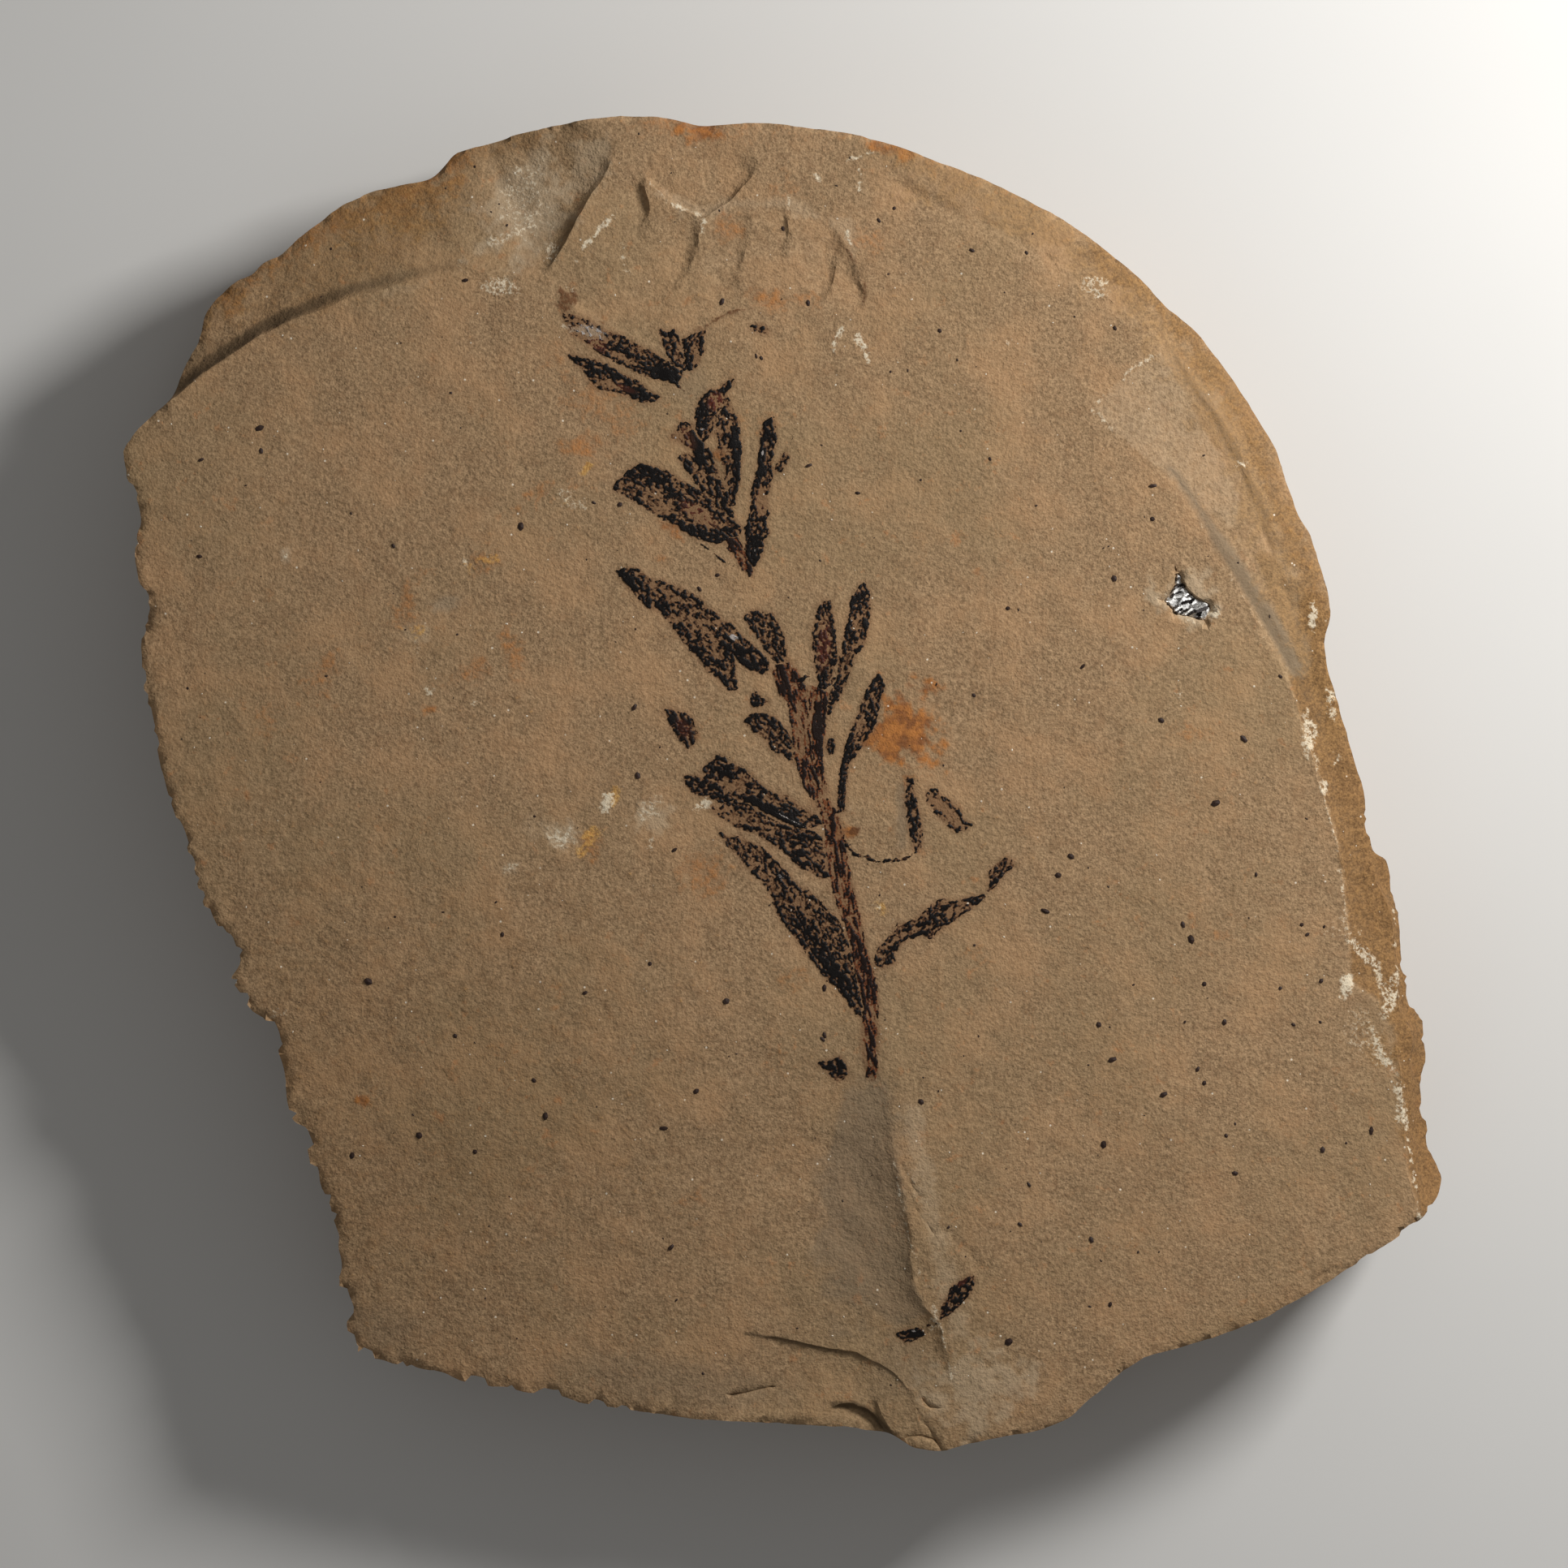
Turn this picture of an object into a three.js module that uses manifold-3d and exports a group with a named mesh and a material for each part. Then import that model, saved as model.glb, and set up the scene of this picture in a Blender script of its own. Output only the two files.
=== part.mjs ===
// Fossil dawn redwood plate: a hand-sized slab of split siltstone that lies flat, with a flattened
// conifer twig on its upper bedding face. Millimetres, +Z up, the origin under the middle of the
// slab on the surface that it rests on. The slab is one stone. The twig is what is left of the
// plant: a thin film of coal on the stone, broken into its stem, its leaves and loose scraps.

import * as THREE from 'three';
import { ConvexHull } from 'three/addons/math/ConvexHull.js';
import { mergeVertices } from 'three/addons/utils/BufferGeometryUtils.js';
import Module from 'manifold-3d';

const wasm = await Module();
wasm.setup();

// ---- Driving dimensions -------------------------------------------------------------------------

const BEDDING = 14;          // height of the bedding face that carries the twig
const FILM = 0.15;           // thickness of the coal film
const FILM_GAP = 0.3;        // bare stone between two pieces of film
const RIM_ROUND = 0.8;       // width of the worn rounding along the slab's upper rim
const RIM_DROP = 0.35;       // how far that rounding falls
const PIT_DEPTH = 0.8;       // star-shaped mineral pit in the bedding face
const PIT_WALL = 0.86;       // size of the pit's floor against its mouth
const CRUST = 0.74;          // size of the mineral crust against the pit's mouth
const CRUST_RISE = 0.5;      // height of the crust above the pit's floor
const CRUST_GAP = 0.1;       // space between the crust and the pit's wall
const SEAT_MARGIN = 0.5;     // flat stone around the two low leaves
const OUTLINE_STEP = 3;      // longest straight piece of the slab's rim
const LINE_STEP = 1.5;       // spacing of the points along a break in the face
const FIELD_STEP = 3.1;      // spacing of the points on the open face
const RIM_CLEAR = 0.55;      // strip along the rim that holds no point but the rim's own

// The broken side below the rim, in beds that stand out or lie back: height as a share of the rim's
// height, how far the side lies inside the rim there, and how much that varies.
const SIDE = [
  { height: 0.86, inset: 0.3, rough: 0.3 },
  { height: 0.7, inset: 0.9, rough: 0.7 },
  { height: 0.62, inset: 0.4, rough: 0.5 },
  { height: 0.4, inset: 0.7, rough: 0.6 },
  { height: 0.33, inset: 1.3, rough: 0.8 },
  { height: 0.1, inset: 1.5, rough: 0.6 },
  { height: 0, inset: 2.9, rough: 0.5 },
];

// ---- Slab: plan outline, clockwise from the left corner ------------------------------------------

const outline = [
  [-51, 25.8], [-49.5, 27.7], [-47.2, 29.7], [-46.3, 32], [-45, 34.7], [-44.7, 36.5],
  [-43.6, 37.8], [-42.1, 39], [-41.1, 39.2], [-40.3, 40.3], [-38.8, 40.9], [-37.7, 42],
  [-34.6, 44.5], [-31.9, 45.8], [-30, 46.2], [-27.3, 46.7], [-26.5, 47.5], [-25.5, 48.7],
  [-23.5, 49.3], [-19.6, 50.4], [-15, 51.3], [-12.3, 51.5], [-9.2, 51.4], [-6.5, 50.7],
  [-3, 51], [0, 50.8], [5, 50.2], [9.2, 49], [15.4, 46.7], [21.5, 43.6], [25, 41.1],
  [27.7, 38.8], [29.6, 36.7], [31.9, 34.9], [34.2, 32], [36.5, 28.4], [38.1, 25.9],
  [38.9, 23.3], [39.7, 20.7], [40.6, 19.5], [41.2, 17.6], [42, 14.9], [42.3, 13], [41.7, 11],
  [42, 8.7], [42.7, 6.5], [43.5, 3.7], [44.9, -0.8], [44.9, -2.3], [45.4, -5.2], [46.6, -5.7],
  [47, -7.1], [46.9, -7.7], [47.5, -9.2], [47.7, -11.4], [47.7, -14], [48.2, -14.8],
  [48.1, -17], [49.4, -17.6], [49.5, -19], [49.7, -21.6], [49.3, -22.2], [49.4, -25.2],
  [50.1, -28.7], [51, -30.4], [50.5, -31.8], [49.1, -33.6], [47.4, -34.9], [42, -38.3],
  [37.4, -41], [33.5, -42.6], [27.7, -44.2], [25.8, -45.5], [23.1, -47.8], [22.3, -48.7],
  [19.6, -49.9], [14.6, -50.8], [11.9, -51.5], [10, -51.2], [8.2, -50.1], [5.4, -49.7],
  [0, -49.4], [-7.6, -49], [-14.2, -48.1], [-20, -47], [-25.7, -45.8], [-30.3, -44.9],
  [-33.5, -43.9], [-33.9, -41.4], [-33.8, -40.5], [-34.4, -38.5], [-34.1, -37.4],
  [-34.6, -36.2], [-34.2, -34.9], [-34.8, -33.5], [-35.1, -32], [-36.2, -31.8],
  [-36.5, -29.3], [-36.8, -26.6], [-38, -26.2], [-38.6, -22], [-40, -17.8], [-41, -17.7],
  [-42.9, -15], [-41.9, -13.7], [-42.6, -11.5], [-44, -11.5], [-45, -8.5], [-46.5, -3.5],
  [-47.7, 0], [-49.2, 6.4], [-49.6, 9.5], [-49.2, 13.2], [-48.8, 14.7], [-49.6, 15.3],
  [-50, 17.2], [-50, 19.5], [-49.5, 20.1], [-50, 22.4], [-50.9, 24],
];

// ---- Slab: breaks in the upper face --------------------------------------------------------------
// Each break is a line across the face, and the stone on one side of it has split away. A point is
// [x, y, step, slope]: the sharp drop beside the line, and the fall per millimetre away from it.
// low is 1 where the low side lies to the left of the line's direction, and -1 to the right. reach
// is the width over which the drop is made. A scar heals to the old level over the heal distance.

const breaks = {
  westBevel: {
    low: 1, reach: 0.9,
    line: [
      [-48.1, 28.9, 0.2, 0.1], [-45.7, 30.8, 0.8, 0.18], [-43.7, 32.2, 1.1, 0.22],
      [-41.7, 33.7, 1.2, 0.24], [-39.5, 34.9, 1.3, 0.26], [-37.3, 35.9, 1.3, 0.26],
      [-33.3, 37.5, 1.3, 0.26], [-30.3, 38.3, 1.2, 0.25], [-27.3, 39.2, 1.1, 0.24],
      [-24.4, 39.9, 0.8, 0.24], [-22.6, 39.5, 0.5, 0.24], [-20.1, 39, 0.3, 0.22],
      [-18.6, 39.3, 0.4, 0.18], [-16.6, 42.3, 1.1, 0.15], [-15, 45.2, 1.2, 0.12],
      [-13.8, 47.2, 0.8, 0.1], [-12.9, 49.2, 0, 0],
    ],
  },
  topChip: {
    low: 1, reach: 0.25,
    line: [
      [-18.6, 39.3, 0, 0], [-17.3, 38.3, 0.08, 0.03], [-15.9, 36.5, 0.12, 0.05],
      [-13.8, 35.3, 0.12, 0.06], [-11, 34.2, 0.12, 0.06], [-9.5, 35.3, 0.12, 0.06],
      [-6, 35.3, 0.12, 0.06], [-4.3, 36.2, 0.12, 0.06], [-2.1, 36.7, 0.1, 0.06],
      [1.5, 36.2, 0.05, 0.06], [4, 36.1, 0.05, 0.05], [5.9, 36.5, 0.08, 0.04],
      [6.2, 37.9, 0.15, 0.03], [5.5, 39.6, 0.15, 0.03], [4.5, 41.7, 0.1, 0.03],
      [2.7, 44.7, 0.05, 0.02], [1.2, 47.8, 0, 0],
    ],
  },
  tongueChip: {
    low: 1, reach: 0.35,
    line: [
      [-11, 47.3, 0, 0], [-10.5, 46.4, 0.3, 0.04], [-8.4, 44.5, 0.45, 0.06],
      [-6.3, 43.5, 0.5, 0.07], [-4.2, 45, 0.5, 0.06], [-2.5, 46.8, 0.35, 0.04],
      [-1.6, 48.1, 0, 0],
    ],
  },
  finger1: {
    low: -1, reach: 0.2, heal: 2.2,
    line: [[-10.6, 46.6, 0.3, 0], [-10.5, 45.3, 0.55, 0], [-10.5, 43.9, 0.5, 0], [-10.8, 41.6, 0, 0]],
  },
  finger2: {
    low: -1, reach: 0.2, heal: 2.2,
    line: [
      [-6.3, 43.5, 0.3, 0], [-6.5, 42.2, 0.5, 0], [-6.7, 41.2, 0.5, 0], [-7.6, 39.2, 0.4, 0],
      [-8.6, 37.9, 0, 0],
    ],
  },
  finger3: {
    low: -1, reach: 0.2, heal: 2,
    line: [[-2.6, 44.2, 0.2, 0], [-2.8, 42.2, 0.4, 0], [-3, 40.4, 0.35, 0], [-3.6, 38.5, 0, 0]],
  },
  finger4: {
    low: -1, reach: 0.2, heal: 1.6,
    line: [[0.2, 43.9, 0.15, 0], [0.4, 42.1, 0.25, 0], [0.1, 41, 0, 0]],
  },
  finger5: {
    low: -1, reach: 0.2, heal: 1.8,
    line: [[4.5, 41.7, 0.3, 0], [4.2, 40, 0.4, 0], [3.9, 38.3, 0.3, 0], [3.2, 37.1, 0, 0]],
  },
  eastFacet: {
    low: 1, reach: 0.8,
    line: [
      [23.5, 29.3, 0, 0], [24.6, 28, 0.04, 0.04], [26.9, 26.1, 0.06, 0.05],
      [28.9, 24.3, 0.1, 0.06], [31.9, 20.3, 0.2, 0.07], [34.6, 16.5, 0.4, 0.1],
      [36.5, 12.2, 0.5, 0.12], [38.2, 9.3, 0.6, 0.15], [39.4, 6.1, 0.6, 0.2],
      [40.5, 2.6, 0.6, 0.25], [41.4, -0.6, 0.6, 0.3], [42.3, -3.5, 0.6, 0.3],
      [42.9, -7, 0.6, 0.3], [43.5, -11.8, 0.5, 0.3], [43.4, -15.3, 0.3, 0.3],
      [45.9, -16.8, 0.2, 0.25], [47.1, -19, 0.5, 0.3], [47.4, -22.9, 0.8, 0.35],
      [48, -29.9, 0.7, 0.3], [49, -33.4, 0.3, 0.2],
    ],
  },
  eastRind: {
    low: 1, reach: 0.3,
    line: [
      [8.9, 45.9, 0, 0], [13.4, 44, 0.1, 0.12], [18.1, 41.5, 0.2, 0.2], [22.7, 39, 0.25, 0.28],
      [27.5, 35.7, 0.25, 0.3], [29.2, 33.4, 0.25, 0.32], [31.5, 30.5, 0.2, 0.35],
      [33.5, 28, 0.2, 0.35], [35.8, 23.3, 0.2, 0.35], [36.9, 20.3, 0.15, 0.3],
      [38.5, 16.6, 0.1, 0.2], [39.6, 12.8, 0, 0],
    ],
  },
  eastLedge: {
    low: 1, reach: 0.4,
    line: [
      [45, -4.7, 0, 0], [45.7, -7.5, 1, 0.1], [46.9, -10, 1.2, 0.2], [47.2, -14.7, 0.8, 0.2],
      [47.3, -17.2, 1.2, 0.2], [48.4, -19, 1.4, 0.15], [48.2, -22.8, 1.2, 0.1],
      [48.4, -27.2, 1, 0.1], [48.9, -30.3, 0.8, 0.2], [49.5, -33.2, 0, 0],
    ],
  },
  ridge: {
    low: -1, reach: 2,
    line: [
      [7.1, -22.3, 0, 0], [7.8, -23.3, 0.15, -0.02], [8.2, -24.8, 0.4, -0.03],
      [8.4, -29.1, 0.9, -0.05], [9.2, -30.9, 1.1, -0.05], [9.7, -35.4, 1.3, -0.06],
      [9.9, -38.2, 1.2, -0.05], [10.9, -40.4, 1.1, -0.05], [12, -41.3, 0.9, -0.04],
      [12.5, -43.4, 0.7, -0.03], [12.9, -45.1, 0.5, -0.02], [13, -46.7, 0, 0],
    ],
  },
  lamina: {
    low: -1, reach: 0.15,
    line: [
      [-2.6, -42.5, 0, 0], [-0.3, -42.5, 0.25, 0.02], [1.6, -43.2, 0.4, 0.03],
      [3.4, -43.5, 0.5, 0.04], [5.5, -43.8, 0.6, 0.05], [8.4, -45.2, 0.8, 0.05],
      [9.7, -46.7, 0.7, 0.04], [10.2, -48.1, 0.5, 0.02], [10.6, -50.6, 0, 0],
    ],
  },
};

// The face sags towards the lower left: beyond SAG_START along that direction it falls as a parabola.
const SAG_START = 17;
const SAG = 0.0012;

const pit = [
  [30.15, 16.6], [30.6, 16.2], [31.1, 15.1], [31.75, 14.45], [32.85, 13.95], [33.05, 13.35],
  [32.5, 12.35], [31.25, 12.7], [30, 12.95], [29.75, 13.45], [29, 14.1], [29.75, 14.95],
  [30, 15.6],
];

// ---- Coal film: the stem -------------------------------------------------------------------------
// Plan outlines. Where two pieces meet, the later one is cut back to leave FILM_GAP.

const stem = {
  stem_main: [
    [2.35, -1.4], [3.35, -1.15], [3.85, -2.15], [4.3, -3.3], [4.6, -4.65], [4.8, -5.9],
    [5.3, -8.4], [5.9, -10.9], [6.4, -13.3], [6.8, -14.35], [7.05, -15.6], [7.15, -17.15],
    [7.1, -18.55], [7.25, -19.65], [7.05, -20.9], [7.1, -22.05], [6.85, -22.7], [6.5, -22.55],
    [6.25, -21.4], [6.1, -20.3], [6.1, -18.9], [6.25, -17.15], [5.9, -15.6], [5.6, -14.35],
    [5.1, -11.85], [4.75, -10.8], [4.35, -9.8], [3.8, -7.8], [3.35, -5.9], [3.25, -4.65],
    [3.3, -3.4], [3, -2.4],
  ],
  stem_fork_left: [
    [-0.5, 9.1], [0.55, 9.3], [1.05, 8.45], [1.5, 7.55], [1.75, 5.35], [1.9, 4.1],
    [2.05, 2.85], [2.1, 1.6], [2.5, 0.45], [2.85, -0.6], [2.35, -1.15], [1.8, -0.4],
    [1.25, 0.85], [0.9, 2.2], [0.75, 3.8], [0.4, 6.45], [-0.2, 6.85], [-0.5, 7.7], [-0.7, 8.6],
  ],
  stem_fork_right: [
    [1.9, 7.45], [2.85, 7.2], [3.35, 6.85], [3.15, 5.6], [3.1, 4.1], [2.9, 2.55], [2.9, 1.45],
    [3.05, 0.35], [3.35, -0.9], [2.9, -1.05], [2.55, 0.35], [2.25, 1.6], [2.1, 4.4],
    [2.05, 5.95],
  ],
  stem_tip: [
    [-4.4, 18.85], [-3.65, 18.9], [-3.25, 18.1], [-2.9, 17.1], [-2.45, 16.6], [-2.6, 16.1],
    [-3.25, 16.8], [-3.75, 17.85], [-4.2, 18.2],
  ],
};

// ---- Coal film: the leaves, numbered from the base of the twig upwards -----------------------------

const leaves = {
  leaf_left_1: [
    [-4.85, -3.8], [-4.35, -4.2], [-3.4, -4.15], [-2.6, -4.65], [-1.9, -4.85], [-0.9, -5.8],
    [0.1, -6.8], [0.6, -7.55], [1.15, -8.05], [1.85, -8.3], [3.1, -9.55], [4.25, -10.7],
    [4.9, -12.4], [5.35, -14.55], [5.9, -16.9], [6, -17.9], [5.35, -17.3], [4.85, -16.4],
    [4.25, -15.7], [3.5, -15.2], [2.6, -13.9], [2, -13.2], [1.1, -11.9], [0, -10.55],
    [-0.5, -9.8], [-0.75, -8.9], [-1.15, -8.05], [-1.65, -7.3], [-2.25, -6.9], [-3.5, -5.4],
    [-4.15, -4.8],
  ],
  leaf_left_2: [
    [-5.65, -1.8], [-4.9, -1.9], [-4.5, -1.6], [-3.75, -1.4], [-2.9, -1.65], [-1.4, -2.55],
    [0.35, -3.4], [1.25, -3.6], [2.1, -3.65], [2.75, -4.05], [3.05, -4.8], [3.15, -5.65],
    [3.5, -7.05], [2.85, -7.15], [2.1, -6.65], [1.25, -6.3], [0.05, -5.05], [-0.7, -4.65],
    [-2.15, -3.65], [-3, -3.55], [-3.85, -3.05], [-5.1, -2.3],
  ],
  leaf_left_3: [
    [-7.6, 0.55], [-6.9, 0.55], [-6.25, 0.35], [-5.9, 0.7], [-6.15, 1.1], [-5.95, 1.45],
    [-5.4, 1.65], [-5.15, 2.15], [-4.65, 2.05], [-4.4, 1.55], [-3.9, 1.45], [-3.1, 1.05],
    [-2.65, 0.6], [-2.15, 0.2], [-1.75, -0.3], [-1.2, -0.65], [0.25, -1.05], [0.85, -1.4],
    [1.3, -1.9], [2, -2.15], [2.5, -2.55], [2.8, -2.95], [2.1, -3.3], [1.35, -3.3],
    [0.55, -3.05], [-1.15, -2.2], [-2.65, -1.35], [-3.4, -1.1], [-4.75, -1.4], [-5.25, -1.2],
    [-5.75, -0.85], [-6.5, -0.8], [-7, -0.55], [-7.4, -0.05],
  ],
  leaf_left_4: [
    [-2.95, 4.85], [-2.6, 5.2], [-2, 5.4], [-1.4, 5.3], [-0.75, 5.05], [0.05, 4.15],
    [0.35, 3.7], [0.65, 2.6], [0.85, 1.9], [0.5, 1.95], [0, 2.4], [-0.5, 2.45], [-1, 2.95],
    [-1.75, 3.85], [-2.25, 4.15],
  ],
  leaf_left_5: [
    [-12.75, 16.4], [-12, 16.55], [-11.25, 16.45], [-10.75, 15.9], [-10, 15.6], [-9.25, 15.45],
    [-8.4, 15.15], [-6.9, 14.4], [-6.4, 13.95], [-5.9, 13.35], [-5.15, 13.05], [-4.85, 12.45],
    [-4.15, 12.35], [-3.65, 11.7], [-2.4, 10.6], [-1.25, 9.35], [-1.25, 8.9], [-1.65, 8.55],
    [-3, 9.1], [-3.95, 10.15], [-3.85, 8.45], [-3.7, 7.35], [-4.15, 7.3], [-5.15, 8.35],
    [-5.75, 8.7], [-6.5, 9.95], [-7.15, 10.45], [-7.75, 11.1], [-9.15, 13.1], [-9.75, 13.45],
    [-10.5, 13.7], [-11.65, 14.95], [-12.25, 15.65],
  ],
  leaf_left_6: [
    [-3, 12.95], [-2.25, 13.3], [-1.5, 13.05], [-0.9, 13.05], [-0.15, 11.4], [0.1, 10.35],
    [0.05, 9.45], [-0.5, 9.45], [-1, 9.95], [-2.5, 12.1],
  ],
  leaf_left_7: [
    [-13.1, 22.8], [-12.7, 23.3], [-11.65, 24.3], [-11, 24.55], [-10.4, 24.45], [-8.9, 23.95],
    [-8.2, 23.45], [-6.5, 22.45], [-5.65, 22.1], [-5, 21.45], [-4.5, 20.6], [-3.9, 20.2],
    [-3.35, 19.7], [-3.4, 19.35], [-4.4, 18.95], [-5.15, 18.6], [-6.75, 19.1], [-7.5, 19.45],
    [-8.25, 20.05], [-10, 20.95], [-11.5, 21.95], [-12.25, 22.3],
  ],
  leaf_left_8: [
    [-7.9, 27.85], [-7.25, 27.65], [-6.75, 26.7], [-5.65, 25.45], [-5.25, 24.4],
    [-4.85, 23.15], [-4.4, 22.35], [-4.1, 21.3], [-3.9, 20.35], [-4.4, 20.6], [-4.9, 21.45],
    [-5.4, 22.2], [-6.25, 22.7], [-6.9, 23.6], [-8, 25.1], [-6.95, 25.55], [-7.5, 26.1],
    [-8.75, 26.7], [-8.25, 27.2],
  ],
  leaf_left_9: [
    [-3.95, 31.15], [-4.75, 30.6], [-5, 30.15], [-5.65, 30.3], [-6.25, 29.7], [-6.65, 28.95],
    [-6.75, 27.95], [-6.6, 27.1], [-6.15, 26.45], [-5.7, 26.95], [-5.4, 27.85], [-5.2, 28.6],
    [-4.75, 29.4], [-4.6, 30.1], [-4.2, 30.55],
  ],
  leaf_right_1: [
    [7.1, -13.9], [7.15, -13.1], [7.4, -12.6], [8.25, -11.8], [8.85, -10.9], [9.85, -10.7],
    [10.35, -10.35], [11.35, -9.45], [12.3, -8.9], [12.65, -9.2], [13.35, -9.15], [14, -8.9],
    [15.35, -8.6], [14.65, -9.3], [13.1, -10.35], [12.1, -10.95], [11.75, -11.4],
    [11.25, -11.8], [10.75, -11.45], [9.5, -11.85], [9, -12.2], [8.4, -13.1], [8.5, -13.65],
    [7.65, -14.05],
  ],
  leaf_right_2: [
    [9.5, 0.45], [9.85, 0.35], [9.85, -0.3], [10.25, -1.8], [10.55, -3.4], [10.6, -4.3],
    [10.4, -5.05], [10.1, -5.05], [9.65, -3.15], [9.6, -2.15], [9.4, -1.2], [9.55, -0.3],
  ],
  leaf_right_3: [
    [7.3, 8.35], [7.65, 7.7], [7.5, 6.85], [7.05, 5.05], [6.75, 4.1], [5.75, 2.7],
    [4.85, 1.45], [4.65, -0.6], [4.5, -2.2], [4.15, -2.15], [4.25, -1.2], [4.4, 0.65],
    [4.75, 2.55], [5.35, 4.4], [5.8, 5.35], [6.05, 6.2], [6.85, 7.85],
  ],
  leaf_right_4: [
    [6.15, 15.45], [6.5, 14.85], [6.55, 13.95], [6.5, 12.85], [6.15, 10.95], [5.9, 10.4],
    [5.35, 10.05], [5.1, 9.1], [4.8, 7.95], [3.9, 6.2], [3.35, 5.35], [3.3, 6.45],
    [4.15, 7.95], [4.5, 9.95], [4.75, 11.7], [5.25, 13.35], [5.25, 14.1], [5.85, 15.2],
  ],
  leaf_right_5: [
    [3.1, 14.05], [3.5, 13.95], [3.75, 12.55], [3.85, 11.3], [4, 10.35], [4, 9.6], [3.75, 8.8],
    [3.15, 7.35], [2.8, 7.35], [2.55, 8.95], [2.3, 10.65], [2.35, 11.6], [2.6, 13.1],
    [2.8, 13.7],
  ],
  leaf_right_6: [
    [-1, 28.1], [-0.75, 27.45], [-0.7, 26.6], [-1.1, 24.6], [-0.95, 23.7], [-1.25, 22.85],
    [-1.4, 21.6], [-1.25, 20.85], [-1.5, 20.2], [-1.2, 19.4], [-1.6, 18.95], [-1.7, 17.95],
    [-2.45, 16.65], [-2.85, 17.55], [-2.85, 19.85], [-2.5, 20.85], [-2.35, 22.85], [-2, 23.7],
    [-1.75, 25.95], [-1.65, 27.1], [-1.4, 27.85],
  ],
  leaf_right_7: [
    [-4.7, 29.6], [-4.35, 29.6], [-4.1, 28.85], [-3.65, 28.1], [-3.35, 26.1], [-3.45, 23.8],
    [-3.6, 22.85], [-3.85, 21.9], [-3.95, 20.85], [-4.25, 20.85], [-4.4, 22.1], [-4.45, 24.1],
    [-5, 25.95], [-5.15, 26.9], [-5.15, 27.85],
  ],
  leaf_tip_1: [
    [-17, 36.2], [-15.9, 35.9], [-14.75, 35.45], [-13.85, 34.85], [-12.75, 34.55],
    [-10.85, 33.45], [-10, 33.1], [-8.4, 31.95], [-7.9, 31.8], [-8.25, 30.85], [-9, 31.15],
    [-10.1, 31.35], [-11, 31.7], [-13, 32.65], [-14.15, 33.3], [-15.25, 34.2], [-16.25, 34.6],
  ],
  leaf_tip_2: [
    [-16.5, 32.95], [-15.75, 32.8], [-14.15, 32.4], [-12.5, 31.55], [-11, 30.7],
    [-10.4, 30.15], [-9.6, 29.8], [-10.15, 29.45], [-10.9, 29.45], [-12.9, 30.3],
    [-13.85, 30.45], [-14.5, 30.65], [-15.5, 32.1],
  ],
  leaf_tip_3: [
    [-9.5, 34.95], [-9, 34.65], [-8.5, 34.9], [-8.25, 34.4], [-7.75, 32.55], [-7.65, 31.95],
    [-8.2, 32.1], [-8.6, 32.45], [-9, 33.35], [-9.25, 34.1],
  ],
  leaf_tip_4: [
    [-7.7, 34.2], [-7.25, 34.35], [-6.15, 34.95], [-6.35, 34.1], [-6.25, 33.35],
    [-6.6, 32.85], [-6.75, 32.2], [-7.25, 31.9], [-7.5, 32.85],
  ],
};

// ---- Coal film: a leaf and scraps that lie by themselves -------------------------------------------

const scraps = {
  loose_leaf: [
    [11.3, -0.45], [11.75, -0.55], [11.9, -0.9], [12.85, -1.45], [13.3, -1.9], [13.6, -2.4],
    [13.8, -2.95], [14.35, -3.15], [13.85, -3.45], [13.3, -3.6], [12.85, -3.3], [12, -2.45],
    [11.1, -1.3], [11.05, -0.8],
  ],
  scrap_1: [
    [-9.1, 5.7], [-8.5, 5.6], [-8, 5.35], [-7.6, 5.35], [-7.1, 4.95], [-6.7, 3.7],
    [-7.35, 2.8], [-8.35, 4.05], [-8.65, 4.55],
  ],
  scrap_2: [[-2.5, 6.15], [-2.4, 6.9], [-2.15, 6.95], [-1.75, 6.55], [-1.35, 6.3], [-1.9, 6.05]],
  scrap_3: [[3.5, 3.35], [3.8, 3.3], [3.8, 2.55], [3.55, 2.4], [3.35, 2.85]],
  scrap_4: [
    [2.75, -21.55], [3.5, -21.4], [4.25, -21.1], [4.6, -21.55], [4.9, -22.3], [4.15, -22.85],
    [3.25, -21.9],
  ],
  scrap_5: [[0.05, 25.45], [0.3, 25.2], [0.1, 24.6], [-0.2, 24.1], [-0.6, 24.3], [-0.25, 24.85]],
  scrap_6: [[-2.45, 35.2], [-1.75, 35.35], [-1.15, 34.8], [-1.5, 34.8], [-2.2, 34.95]],
  scrap_7: [
    [15.9, -6.8], [16.4, -6.3], [17, -5.85], [17.5, -5.9], [17.6, -6.35], [16.85, -6.9],
    [16.25, -7.8], [15.8, -8.15], [16, -7.55],
  ],
};

// Two leaves beside the ridge. Each lies on a small flat of its own at the stone's height there.
const lowLeaves = {
  low_leaf_right: [
    [12.1, -41.15], [12.1, -40.65], [12.4, -40.05], [12.75, -39.3], [13.1, -38.7],
    [13.55, -38.4], [14.5, -37.95], [14.6, -38.4], [14.35, -38.9], [14, -39.55], [13.1, -40.4],
    [12.6, -40.85],
  ],
  low_leaf_left: [
    [8.75, -42.45], [9.25, -42.2], [9.85, -42.1], [10.5, -42.15], [10.75, -42.35],
    [10.25, -42.65], [9.4, -42.95],
  ],
};

// ---- Plane geometry ------------------------------------------------------------------------------

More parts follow.
